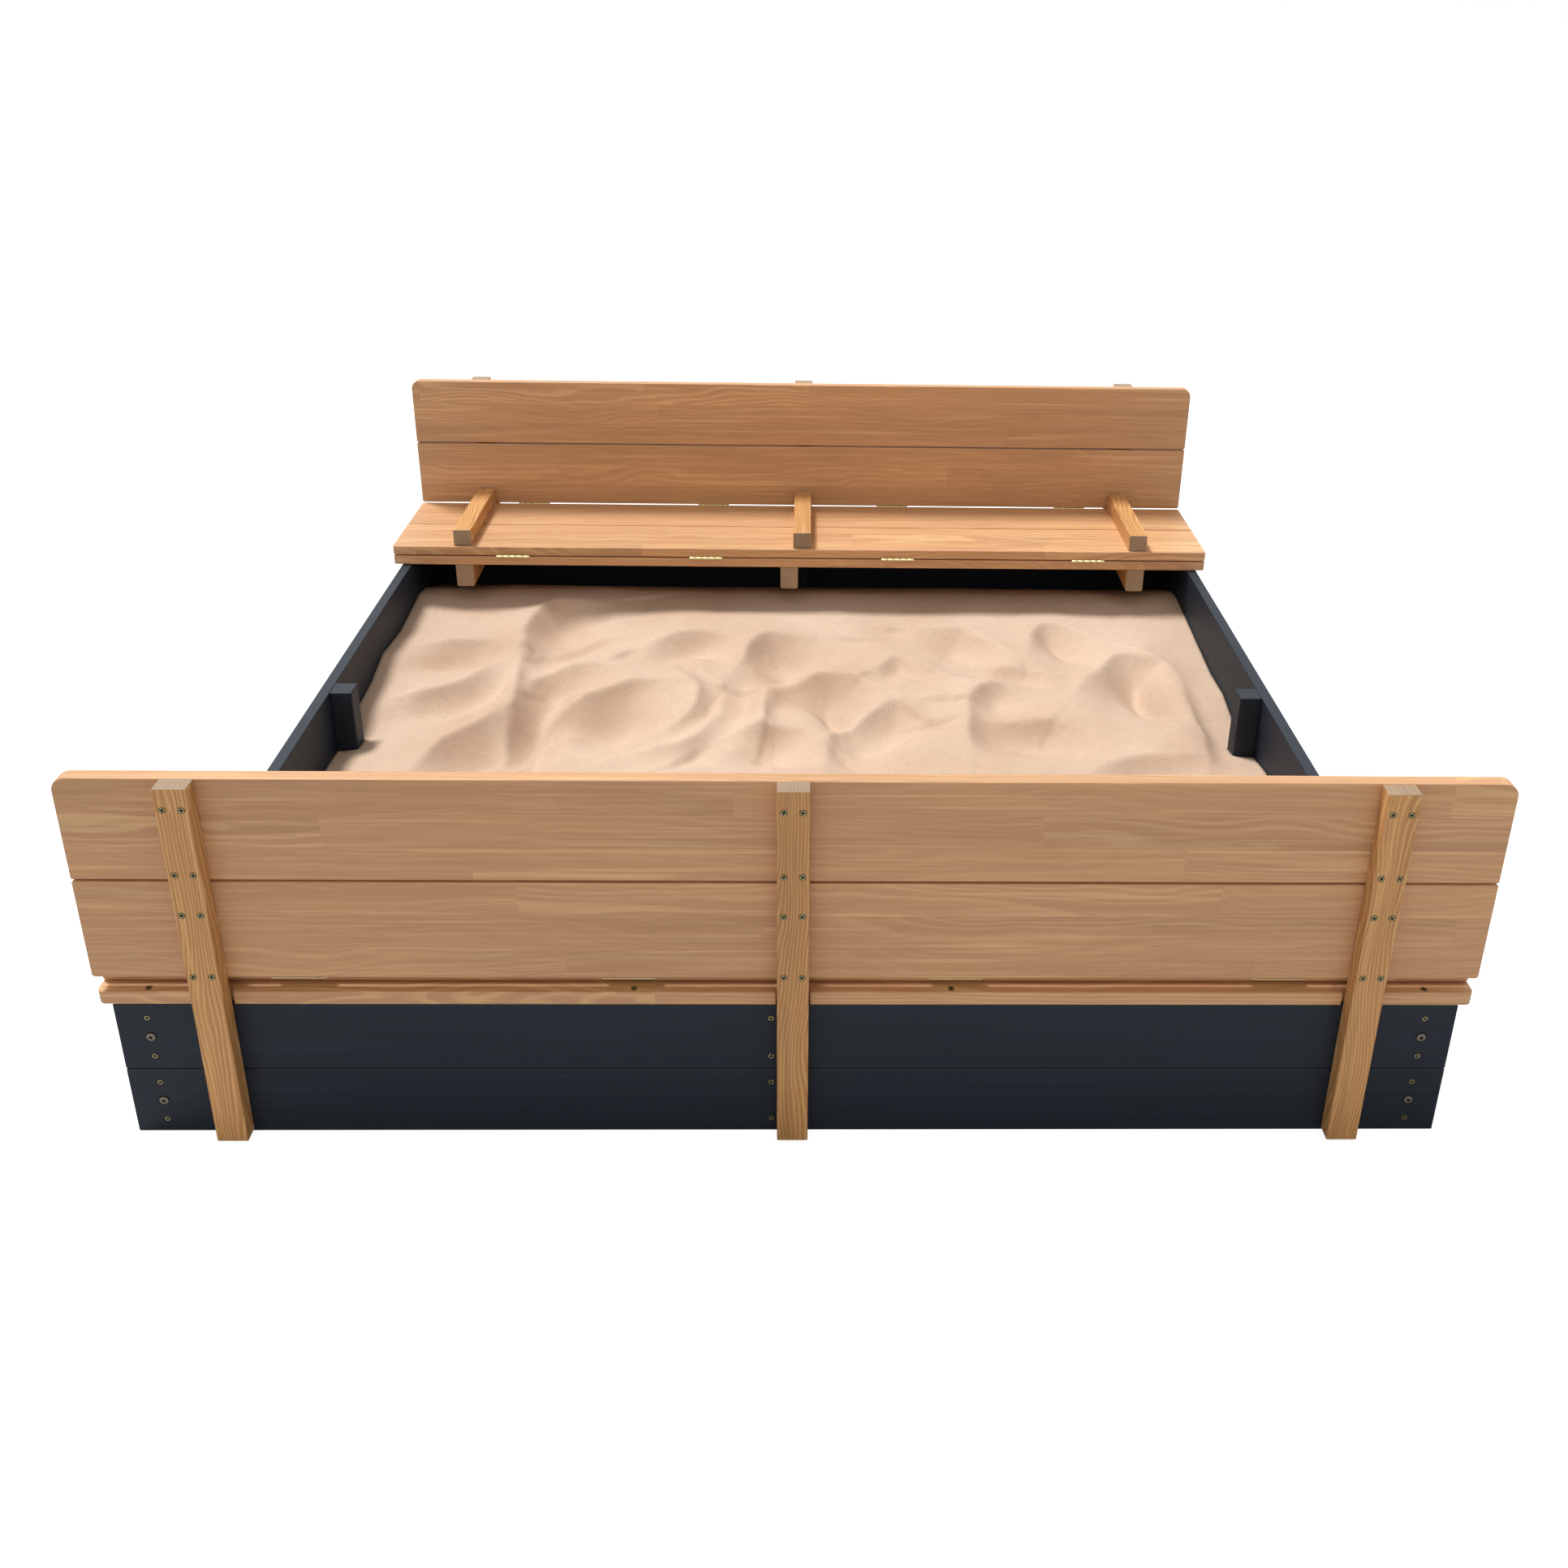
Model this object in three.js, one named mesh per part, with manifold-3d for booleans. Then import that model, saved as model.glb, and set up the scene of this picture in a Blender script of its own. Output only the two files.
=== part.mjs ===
// Square sandbox with two fold-out benches that close into a cover.
// Millimetres, +Z up. X runs along the benches and Y across them.
// The origin is the middle of the footprint, at ground level.
// The benches are drawn open; the front bench is the rear bench turned half a turn about Z.
// Left and right are as seen facing a bench from the middle of the box.

import * as THREE from 'three';
import { mergeVertices } from 'three/addons/utils/BufferGeometryUtils.js';
import Module from 'manifold-3d';

// Box
const BOX_WIDTH = 1500;
const BOX_DEPTH = 1500;
const WALL_HEIGHT = 180;
const WALL_THICKNESS = 18;
const WALL_SEAM = 0.8;
const WALL_ARRIS = 1.5;
const POST_SIZE = 34;
const FRONT_POST_SHIFT = -24.5;
const REAR_POST_SHIFT = -6.5;

// Lid panels: each half of the cover is a fixed base, a folding seat and a backrest
const LID_OVERHANG = 15;
const LID_THICKNESS = 17;
const LID_SEAM = 3;
const LID_ARRIS = 1.5;
const BACK_CORNER_RADIUS = 16;
const LEDGE_CORNER_RADIUS = 8;
const SMALL_CORNER_RADIUS = 4;
const CENTRE_GAP = 5;
const STOP_GAP = 0.6;
const NOTCH_DEPTH = 6;
const NOTCH_SIDE_GAP = 1.2;

// Battens and cleats
const BATTEN_WIDTH = 35;
const BATTEN_DEPTH = 21;
const BATTEN_GROUND_GAP = 5;
const BATTEN_ARRIS = 1.5;
const CLEAT_WIDTH = 33;
const SEAT_CLEAT_HEIGHT = 31;
const BASE_CLEAT_HEIGHT = 45;
const BASE_CLEAT_ROUNDING = 4;
const CLEAT_END_INSET = 5;
const BATTEN_END_INSET = 130;
const BASE_CLEAT_SHIFT = -24;

// Hinges
const HINGE_LENGTH = 62;
const HINGE_SPACING = 361;
const KNUCKLE_COUNT = 5;
const KNUCKLE_RADIUS = 2.6;
const KNUCKLE_CLEARANCE = 0.4;
const KNUCKLE_SIDES = 16;
const PIN_RADIUS = 1.1;
const PIN_CLEARANCE = 0.08;
const PIN_SIDES = 12;
const LEAF_THICKNESS = 0.8;
const SEAT_LEAF_DEPTH = 24;
const EDGE_LEAF_MARGIN = 2;
const FOLD_LEAF_GAP = 2.5;
const FOLD_PIN_REACH = 2.8;
const BACK_PIN_REACH = 2.9;
const BACK_PIN_SUNK = 2.1;
const BACK_LEAF_STANDOFF = 0.4;
const SEAT_EDGE_LEAF_DEPTH = 10;

// Sand
const SAND_LEVEL = 92;
const SAND_END_DROP = 55;
const SAND_END_RUN = 190;
const SAND_SIDE_DROP = 6;
const SAND_SIDE_RUN = 60;
const SAND_WALL_GAP = 1;
const SAND_CELLS = 22;

// Everyday clearance between pieces that touch
const FIT_GAP = 0.3;

// Heights of one half of the cover, from the ground up
const BASE_BOTTOM = WALL_HEIGHT + FIT_GAP;
const BASE_TOP = BASE_BOTTOM + LID_THICKNESS;
const FOLD_PIN_Z = BASE_TOP + FOLD_LEAF_GAP / 2;
const SEAT_BOTTOM = BASE_TOP + FOLD_LEAF_GAP;
const SEAT_TOP = SEAT_BOTTOM + LID_THICKNESS;
const BACK_PIN_Z = SEAT_TOP - BACK_PIN_SUNK;
const BACK_BOTTOM = BACK_PIN_Z + BACK_PIN_REACH;

// Panel widths: closed, base + seat + backrest must reach from the rear wall to the middle.
// The base is deeper than the seat by the ledge that shows behind the backrest. The ledge ends
// STOP_GAP short of the backrest's outer face, and is notched where the battens swing past it.
const BASE_OUTER_Y = BOX_DEPTH / 2;
const BACK_FACE_OFFSET = BACK_PIN_REACH - BACK_PIN_SUNK;
const LEDGE = BACK_FACE_OFFSET + LID_THICKNESS - STOP_GAP;
const CLOSED_GAPS = 2 * FOLD_PIN_REACH + 2 * BACK_PIN_REACH + CENTRE_GAP / 2;
const BASE_WIDTH = (BASE_OUTER_Y - CLOSED_GAPS + LEDGE) / 3;
const SEAT_WIDTH = BASE_WIDTH - LEDGE;
const BACK_WIDTH = BASE_WIDTH;

// Positions across the rear half
const BASE_INNER_Y = BASE_OUTER_Y - BASE_WIDTH;
const FOLD_PIN_Y = BASE_INNER_Y - FOLD_PIN_REACH;
const SEAT_REAR_Y = BASE_INNER_Y + SEAT_WIDTH;
const BACK_PIN_Y = SEAT_REAR_Y + BACK_PIN_REACH;
const BACK_FRONT_Y = SEAT_REAR_Y + BACK_FACE_OFFSET;
const BACK_OUTER_Y = BACK_FRONT_Y + LID_THICKNESS;
const BATTEN_INNER_Y = BACK_OUTER_Y + FIT_GAP;
const BACK_TOP = BACK_BOTTOM + BACK_WIDTH;

// Positions along the benches
const LID_LENGTH = BOX_WIDTH + 2 * LID_OVERHANG;
const BATTEN_X = LID_LENGTH / 2 - BATTEN_END_INSET;
const HINGE_X = HINGE_SPACING / 2;
const INNER_X = BOX_WIDTH / 2 - WALL_THICKNESS;
const INNER_Y = BOX_DEPTH / 2 - WALL_THICKNESS;

const HALF_TURN = Math.PI;
const QUARTER_TURN = Math.PI / 2;

const wasm = await Module();
wasm.setup();

// ---------------------------------------------------------------- materials

function anthraciteWood() {
  return new THREE.MeshStandardMaterial({ color: 0x252b32, roughness: 0.7, metalness: 0 });
}

function stainedPine() {
  return new THREE.MeshStandardMaterial({ color: 0xb88a62, roughness: 0.6, metalness: 0 });
}

function battenPine() {
  return new THREE.MeshStandardMaterial({ color: 0xb0824e, roughness: 0.6, metalness: 0 });
}

function yellowZinc() {
  return new THREE.MeshStandardMaterial({ color: 0xc9a94e, roughness: 0.35, metalness: 1 });
}

function playSand() {
  return new THREE.MeshStandardMaterial({ color: 0xcdb199, roughness: 0.95, metalness: 0 });
}

// ---------------------------------------------------------------- solids

function toSolid(geometry) {
  const plain = geometry.clone();
  plain.deleteAttribute('normal');
  plain.deleteAttribute('uv');
  const welded = mergeVertices(plain, 1e-4);
  return new wasm.Manifold(new wasm.Mesh({
    numProp: 3,
    vertProperties: new Float32Array(welded.attributes.position.array),
    triVerts: new Uint32Array(welded.index.array),
  }));
}

function toGeometry(solid) {
  const mesh = solid.getMesh();
  const geometry = new THREE.BufferGeometry();
  geometry.setAttribute('position', new THREE.BufferAttribute(mesh.vertProperties, 3));
  geometry.setIndex(new THREE.BufferAttribute(mesh.triVerts, 1));
  const flat = geometry.toNonIndexed();
  flat.computeVertexNormals();
  return flat;
}

function piece(name, geometry, material) {
  const mesh = new THREE.Mesh(geometry, material);
  mesh.name = name;
  return mesh;
}

// A rectangle whose corners are cut by `arris`, or rounded where `rounded` names them.
// Corners are named low or high in x then in y.
function outline(width, depth, arris, rounded, radius) {
  const shape = new THREE.Shape();
  const corners = [
    { name: 'low_low', x: -width / 2, y: -depth / 2, turn: HALF_TURN },
    { name: 'high_low', x: width / 2, y: -depth / 2, turn: HALF_TURN + QUARTER_TURN },
    { name: 'high_high', x: width / 2, y: depth / 2, turn: 0 },
    { name: 'low_high', x: -width / 2, y: depth / 2, turn: QUARTER_TURN },
  ];
  const points = [];
  for (const corner of corners) {
    const isRounded = rounded.includes(corner.name);
    const size = isRounded ? radius : arris;
    const steps = isRounded ? 5 : 1;
    const centreX = corner.x - Math.sign(corner.x) * size;
    const centreY = corner.y - Math.sign(corner.y) * size;
    for (let step = 0; step <= steps; step += 1) {
      const angle = corner.turn + (QUARTER_TURN * step) / steps;
      points.push(new THREE.Vector2(
        centreX + size * Math.cos(angle),
        centreY + size * Math.sin(angle),
      ));
    }
  }
  shape.setFromPoints(points);
  return shape;
}

// A board lying flat, centred on x and y, from z = 0 up to `height`, with every edge eased.
function easedBoard({ width, depth, height, arris, rounded = [], radius = 0, steps = 1 }) {
  return new THREE.ExtrudeGeometry(outline(width, depth, arris, rounded, radius), {
    depth: height - 2 * arris,
    bevelEnabled: true,
    bevelThickness: arris,
    bevelSize: arris,
    bevelOffset: -arris,
    bevelSegments: steps,
    steps: 1,
  }).translate(0, 0, arris);
}

// The same board stood on edge: its depth becomes its height above z = 0, and its thickness
// runs from y = 0 to `height`.
function standingBoard(sizes) {
  return easedBoard(sizes)
    .rotateX(QUARTER_TURN)
    .translate(0, sizes.height, sizes.depth / 2);
}

function bar(sizeX, sizeY, sizeZ, arris) {
  return easedBoard({ width: sizeX, depth: sizeY, height: sizeZ, arris });
}

// ---------------------------------------------------------------- box

function wallBoards() {
  const boardHeight = (WALL_HEIGHT - WALL_SEAM) / 2;
  const sideLength = BOX_DEPTH - 2 * WALL_THICKNESS - 2 * FIT_GAP;
  const courses = [
    { name: 'lower', z: 0 },
    { name: 'upper', z: boardHeight + WALL_SEAM },
  ];
  const walls = [
    { name: 'front', length: BOX_WIDTH, turn: 0, distance: BOX_DEPTH / 2 },
    { name: 'rear', length: BOX_WIDTH, turn: HALF_TURN, distance: BOX_DEPTH / 2 },
    { name: 'left', length: sideLength, turn: -QUARTER_TURN, distance: BOX_WIDTH / 2 },
    { name: 'right', length: sideLength, turn: QUARTER_TURN, distance: BOX_WIDTH / 2 },
  ];
  return walls.flatMap((wall) => courses.map((course) => {
    const geometry = standingBoard({
      width: wall.length,
      depth: boardHeight,
      height: WALL_THICKNESS,
      arris: WALL_ARRIS,
    });
    geometry.translate(0, -wall.distance, course.z);
    geometry.rotateZ(wall.turn);
    return piece(`wall_${wall.name}_${course.name}`, geometry, anthraciteWood());
  }));
}

function posts() {
  const cornerX = INNER_X - POST_SIZE / 2 - FIT_GAP;
  const cornerY = INNER_Y - POST_SIZE / 2 - FIT_GAP;
  const places = [
    { name: 'corner_front_left', x: -cornerX, y: -cornerY },
    { name: 'corner_front_right', x: cornerX, y: -cornerY },
    { name: 'corner_rear_left', x: -cornerX, y: cornerY },
    { name: 'corner_rear_right', x: cornerX, y: cornerY },
    { name: 'middle_front', x: FRONT_POST_SHIFT, y: -cornerY },
    { name: 'middle_rear', x: REAR_POST_SHIFT, y: cornerY },
    { name: 'middle_left', x: -cornerX, y: 0 },
    { name: 'middle_right', x: cornerX, y: 0 },
  ];
  return places.map((place) => {
    const geometry = bar(POST_SIZE, POST_SIZE, WALL_HEIGHT, WALL_ARRIS);
    geometry.translate(place.x, place.y, 0);
    return piece(`post_${place.name}`, geometry, anthraciteWood());
  });
}

// ---------------------------------------------------------------- sand

// Smooth hump or hollow, 1 at its centre and fading to 0 over `reach`.
function swell(x, y, centreX, centreY, reach) {
  const distance = Math.hypot(x - centreX, y - centreY) / reach;
  return Math.exp(-distance * distance);
}

// 0 at a wall, rising smoothly to 1 at `run` in from it.
function shelf(distance, run) {
  const inward = Math.min(1, Math.max(0, distance / run));
  return inward * inward * (3 - 2 * inward);
}

function sandHeight(x, y) {
  const halfX = INNER_X;
  const halfY = INNER_Y;
  const ends = shelf(halfY - Math.abs(y), SAND_END_RUN);
  const sides = shelf(halfX - Math.abs(x), SAND_SIDE_RUN);
  const drift = 7 * Math.sin((x * 5) / halfX + 1) * Math.cos((y * 4) / halfY);
  const mounds = 18 * swell(x, y, -0.62 * halfX, 0.1 * halfY, 0.22 * halfX)
    + 22 * swell(x, y, -halfX, 0.5 * halfY, 0.35 * halfX)
    + 14 * swell(x, y, 0.45 * halfX, 0.3 * halfY, 0.3 * halfX)
    + 12 * swell(x, y, 0.1 * halfX, -0.35 * halfY, 0.3 * halfX);
  const hollows = 30 * swell(x, y, -0.41 * halfX, 0.14 * halfY, 0.2 * halfX)
    + 24 * swell(x, y, 0.07 * halfX, 0.22 * halfY, 0.16 * halfX)
    + 20 * swell(x, y, halfX, 0.18 * halfY, 0.28 * halfX);
  const middle = SAND_LEVEL + drift + mounds - hollows - SAND_SIDE_DROP * (1 - sides);
  return middle * ends + (SAND_LEVEL - SAND_END_DROP) * (1 - ends);
}

// Sand heaped between the walls: a relief on top, flat sides and a flat bottom.
function sandHeap() {
  const halfX = INNER_X - SAND_WALL_GAP;
  const halfY = INNER_Y - SAND_WALL_GAP;
  const points = [];
  const triangles = [];
  const row = SAND_CELLS + 1;
  for (let j = 0; j < row; j += 1) {
    for (let i = 0; i < row; i += 1) {
      const x = halfX * ((2 * i) / SAND_CELLS - 1);
      const y = halfY * ((2 * j) / SAND_CELLS - 1);
      points.push(x, y, sandHeight(x, y));
    }
  }
  for (let j = 0; j < SAND_CELLS; j += 1) {
    for (let i = 0; i < SAND_CELLS; i += 1) {
      const a = j * row + i;
      triangles.push(a, a + 1, a + row + 1, a, a + row + 1, a + row);
    }
  }
  const rim = [];
  for (let i = 0; i < SAND_CELLS; i += 1) rim.push(i);
  for (let j = 0; j < SAND_CELLS; j += 1) rim.push(j * row + SAND_CELLS);
  for (let i = SAND_CELLS; i > 0; i -= 1) rim.push(SAND_CELLS * row + i);
  for (let j = SAND_CELLS; j > 0; j -= 1) rim.push(j * row);
  const firstFoot = points.length / 3;
  for (const top of rim) {
    points.push(points[3 * top], points[3 * top + 1], 0);
  }
  const centreFoot = points.length / 3;
  points.push(0, 0, 0);
  rim.forEach((top, index) => {
    const next = (index + 1) % rim.length;
    const foot = firstFoot + index;
    const nextFoot = firstFoot + next;
    triangles.push(foot, nextFoot, rim[next], foot, rim[next], top);
    triangles.push(centreFoot, nextFoot, foot);
  });
  const geometry = new THREE.BufferGeometry();
  geometry.setAttribute('position', new THREE.Float32BufferAttribute(points, 3));
  geometry.setIndex(triangles);
  return toSolid(geometry);
}

function sand(postPieces) {
  const holeSize = POST_SIZE + 2 * SAND_WALL_GAP;
  let solid = sandHeap();
  for (const post of postPieces) {
    const box = new THREE.Box3().setFromObject(post);
    const centre = box.getCenter(new THREE.Vector3());
    const hole = new THREE.BoxGeometry(holeSize, holeSize, 2 * WALL_HEIGHT);
    // the hole also reaches out through the sand's edge, so no thin sliver stands behind the post
    const outX = Math.abs(centre.x) > INNER_X / 2 ? Math.sign(centre.x) * POST_SIZE / 2 : 0;
    const outY = Math.abs(centre.y) > INNER_Y / 2 ? Math.sign(centre.y) * POST_SIZE / 2 : 0;
    hole.scale(outX ? 2 : 1, outY ? 2 : 1, 1);
    hole.translate(
      centre.x + Math.sign(outX) * holeSize / 2,
      centre.y + Math.sign(outY) * holeSize / 2,
      0,
    );
    solid = solid.subtract(toSolid(hole));
  }
  return piece('sand', toGeometry(solid), playSand());
}

// ---------------------------------------------------------------- panels

// Two boards side by side. `radii` rounds the free corners of the first board and of the second.
function panelBoards(prefix, panelWidth, names, radii) {
  const boardWidth = (panelWidth - LID_SEAM) / 2;
  return names.map((name, index) => {
    const roundedSide = index === 0 ? 'low' : 'high';
    return {
      name: `${prefix}_${name}`,
      offset: index * (boardWidth + LID_SEAM),
      sizes: {
        width: LID_LENGTH,
        depth: boardWidth,
        height: LID_THICKNESS,
        arris: LID_ARRIS,
        rounded: [`low_${roundedSide}`, `high_${roundedSide}`],
        radius: radii[index],
        steps: 2,
      },
    };
  });
}

function lyingPanel(prefix, panelWidth, bottom, outerRadius) {
  const radii = [SMALL_CORNER_RADIUS, outerRadius];
  return panelBoards(prefix, panelWidth, ['inner', 'outer'], radii).map((board) => {
    const geometry = easedBoard(board.sizes);
    geometry.translate(0, BASE_INNER_Y + board.offset + board.sizes.depth / 2, bottom);
    return piece(board.name, geometry, stainedPine());
  });
}

// The fixed base, with notches in its outer edge that clear the swinging battens.
function basePanel(prefix) {
  const [inner, outer] = lyingPanel(prefix, BASE_WIDTH, BASE_BOTTOM, LEDGE_CORNER_RADIUS);
  let solid = toSolid(outer.geometry);
  for (const place of alongBench(0)) {
    const width = BATTEN_WIDTH + 2 * NOTCH_SIDE_GAP;
    const cutter = new THREE.BoxGeometry(width, 2 * NOTCH_DEPTH, 2 * LID_THICKNESS);
    cutter.translate(place.x, BASE_OUTER_Y, BASE_BOTTOM + LID_THICKNESS / 2);
    solid = solid.subtract(toSolid(cutter));
  }
  outer.geometry = toGeometry(solid);
  return [inner, outer];
}

function backPanel(prefix) {
  const radii = [SMALL_CORNER_RADIUS, BACK_CORNER_RADIUS];
  return panelBoards(prefix, BACK_WIDTH, ['lower', 'upper'], radii).map((board) => {
    const geometry = standingBoard(board.sizes);
    geometry.translate(0, BACK_FRONT_Y, BACK_BOTTOM + board.offset);
    return piece(board.name, geometry, stainedPine());
  });
}

function alongBench(middleShift) {
  return [
    { name: 'left', x: -BATTEN_X },
    { name: 'middle', x: middleShift },
    { name: 'right', x: BATTEN_X },
  ];
}

// Cleats under the fixed base, lower edges rounded, ending short of the posts.
function baseCleats(prefix) {
  const rearY = INNER_Y - POST_SIZE - CLEAT_END_INSET;
  const frontY = BASE_INNER_Y + CLEAT_END_INSET / 2;
  const length = rearY - frontY;
  return alongBench(BASE_CLEAT_SHIFT).map((place) => {
    const geometry = easedBoard({
      width: CLEAT_WIDTH,
      depth: BASE_CLEAT_HEIGHT,
      height: length,
      arris: BATTEN_ARRIS,
      rounded: ['low_low', 'high_low'],
      radius: BASE_CLEAT_ROUNDING,
    });
    geometry.rotateX(QUARTER_TURN);
    geometry.translate(place.x, rearY, WALL_HEIGHT - BASE_CLEAT_HEIGHT / 2);
    return piece(`${prefix}_${place.name}`, geometry, stainedPine());
  });
}

function seatCleats(prefix) {
  const frontY = BASE_INNER_Y + CLEAT_END_INSET;
  const length = SEAT_REAR_Y - LID_ARRIS / 2 - frontY;
  return alongBench(0).map((place) => {
    const geometry = bar(CLEAT_WIDTH, length, SEAT_CLEAT_HEIGHT, BATTEN_ARRIS);
    geometry.translate(place.x, frontY + length / 2, SEAT_TOP + FIT_GAP);
    return piece(`${prefix}_${place.name}`, geometry, battenPine());
  });
}

function backBattens(prefix) {
  const length = BACK_TOP - BATTEN_GROUND_GAP;
  return alongBench(0).map((place) => {
    const geometry = bar(BATTEN_WIDTH, BATTEN_DEPTH, length, BATTEN_ARRIS);
    geometry.translate(place.x, BATTEN_INNER_Y + BATTEN_DEPTH / 2, BATTEN_GROUND_GAP);
    return piece(`${prefix}_${place.name}`, geometry, battenPine());
  });
}

// ---------------------------------------------------------------- hinges

// Round bar along x with its axis on y = z = 0.
function roundBar(radius, length, sides) {
  return new THREE.CylinderGeometry(radius, radius, length, sides, 1).rotateZ(QUARTER_TURN);
}

// One leaf of a butt hinge about the x axis: a plate from y = 0 to `depth` whose lower face is at
// z = `level`, and every other knuckle starting from `first`.
function hingeLeaf(depth, level, first) {
  const pitch = HINGE_LENGTH / KNUCKLE_COUNT;
  const length = pitch - KNUCKLE_CLEARANCE;
  const boreRadius = PIN_RADIUS + PIN_CLEARANCE;
  const clearRadius = KNUCKLE_RADIUS + KNUCKLE_CLEARANCE;
  const plate = new THREE.BoxGeometry(HINGE_LENGTH, depth, LEAF_THICKNESS);
  plate.translate(0, depth / 2, level + LEAF_THICKNESS / 2);
  let solid = toSolid(plate);
  for (let index = 0; index < KNUCKLE_COUNT; index += 1) {
    const x = (index + 0.5) * pitch - HINGE_LENGTH / 2;
    if (index % 2 === first) {
      const knuckle = roundBar(KNUCKLE_RADIUS, length, KNUCKLE_SIDES).translate(x, 0, 0);
      solid = solid.add(toSolid(knuckle));
    } else {
      const span = length + 2 * KNUCKLE_CLEARANCE;
      const notch = roundBar(clearRadius, span, KNUCKLE_SIDES).translate(x, 0, 0);
      solid = solid.subtract(toSolid(notch));
    }
  }
  const bore = roundBar(boreRadius, 2 * HINGE_LENGTH, PIN_SIDES);
  return toGeometry(solid.subtract(toSolid(bore)));
}

// Fixed leaf on the base, folding leaf under the seat, pin at the bench's front edge.
function foldHinge(prefix) {
  const level = -FOLD_LEAF_GAP / 2 + FIT_GAP;
  const lower = hingeLeaf(SEAT_LEAF_DEPTH, level, 0);
  const upper = hingeLeaf(SEAT_LEAF_DEPTH, -level - LEAF_THICKNESS, 1);
  const pin = roundBar(PIN_RADIUS, HINGE_LENGTH, PIN_SIDES);
  return [
    piece(`${prefix}_base_leaf`, lower, yellowZinc()),
    piece(`${prefix}_seat_leaf`, upper, yellowZinc()),
    piece(`${prefix}_pin`, pin, yellowZinc()),
  ].map((mesh) => {
    mesh.geometry.translate(HINGE_X, FOLD_PIN_Y, FOLD_PIN_Z);
    return mesh;
  });
}

// One leaf down the seat's rear edge, one along the backrest's bottom edge.
function backHinge(prefix) {
  const level = BACK_PIN_REACH - BACK_LEAF_STANDOFF - LEAF_THICKNESS;
  const backLeaf = hingeLeaf(LID_THICKNESS - EDGE_LEAF_MARGIN, level, 0);
  const seatLeaf = hingeLeaf(SEAT_EDGE_LEAF_DEPTH, level, 1);
  seatLeaf.rotateX(QUARTER_TURN);
  seatLeaf.rotateY(HALF_TURN);
  const pin = roundBar(PIN_RADIUS, HINGE_LENGTH, PIN_SIDES);
  return [
    piece(`${prefix}_back_leaf`, backLeaf, yellowZinc()),
    piece(`${prefix}_seat_leaf`, seatLeaf, yellowZinc()),
    piece(`${prefix}_pin`, pin, yellowZinc()),
  ].map((mesh) => {
    mesh.geometry.translate(HINGE_X, BACK_PIN_Y, BACK_PIN_Z);
    return mesh;
  });
}

// ---------------------------------------------------------------- assembly

function bench(side, turn) {
  const pieces = [
    ...basePanel(`${side}_base_board`),
    ...baseCleats(`${side}_base_cleat`),
    ...lyingPanel(`${side}_seat_board`, SEAT_WIDTH, SEAT_BOTTOM, SMALL_CORNER_RADIUS),
    ...seatCleats(`${side}_seat_cleat`),
    ...backPanel(`${side}_back_board`),
    ...backBattens(`${side}_back_batten`),
    ...foldHinge(`${side}_fold_hinge`),
    ...backHinge(`${side}_back_hinge`),
  ];
  for (const mesh of pieces) {
    mesh.geometry.rotateZ(turn);
  }
  return pieces;
}

function sandbox() {
  const group = new THREE.Group();
  group.name = 'sandbox_with_cover';
  const postPieces = posts();
  const pieces = [
    ...wallBoards(),
    ...postPieces,
    sand(postPieces),
    ...bench('rear', 0),
    ...bench('front', HALF_TURN),
  ];
  for (const mesh of pieces) {
    group.add(mesh);
  }
  return group;
}

export default sandbox();
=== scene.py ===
"""A child's sandbox whose cover is two pairs of hinged lids that fold out into benches.

Everything is in metres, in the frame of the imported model: X runs along the benches, Y from the
front bench to the rear one, Z up, with the origin under the middle of the box.
"""

import logging
import math
from dataclasses import dataclass, field
from enum import Enum
from typing import Any, Iterable, Sequence

import bmesh
import bpy
import numpy as np
from mathutils import Matrix, Vector, noise


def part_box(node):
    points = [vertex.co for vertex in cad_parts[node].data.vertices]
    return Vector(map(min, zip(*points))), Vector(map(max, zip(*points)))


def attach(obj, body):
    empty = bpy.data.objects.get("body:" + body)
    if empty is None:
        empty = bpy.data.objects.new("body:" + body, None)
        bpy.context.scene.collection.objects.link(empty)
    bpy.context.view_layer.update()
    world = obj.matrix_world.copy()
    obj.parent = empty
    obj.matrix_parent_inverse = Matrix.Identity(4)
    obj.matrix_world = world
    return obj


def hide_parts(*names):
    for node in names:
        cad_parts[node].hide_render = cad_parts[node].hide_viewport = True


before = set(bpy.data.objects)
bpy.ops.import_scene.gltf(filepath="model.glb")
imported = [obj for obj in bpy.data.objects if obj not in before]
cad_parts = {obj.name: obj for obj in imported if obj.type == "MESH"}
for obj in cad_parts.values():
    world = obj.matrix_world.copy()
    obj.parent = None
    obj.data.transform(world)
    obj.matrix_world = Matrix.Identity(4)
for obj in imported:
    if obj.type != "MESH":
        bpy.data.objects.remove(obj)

LOG = logging.getLogger("sandbox")
MM = 0.001
FULL_TURN = 2.0 * math.pi
TOUCH = 0.01 * MM  # points closer than this are the same point
SHARP_EDGE = math.radians(60.0)  # edges that turn more than this are eased
FLAT_NORMAL = 0.9999  # a face whose normal is this much along one axis is a flat of the board
GOLDEN_SHARE = 0.6180339887  # its multiples spread the boards' numbers evenly from 0 to 1
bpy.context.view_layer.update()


class Axis(Enum):
    """The frame's axes, by the index that a vector uses."""

    X = 0
    Y = 1
    Z = 2


class Side(Enum):
    """The two halves of the cover. The value is the sign of Y on that side."""

    REAR = 1
    FRONT = -1

    @property
    def word(self) -> str:
        """The word that the model's names use for this side."""
        return self.name.lower()


class Slot(Enum):
    """The material slots, by name."""

    BOX = "box_wood"
    LID = "lid_wood"
    BATTEN = "batten_wood"
    METAL = "hinge_metal"
    SAND = "sand"


# ---------------------------------------------------------------- node helpers


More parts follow.
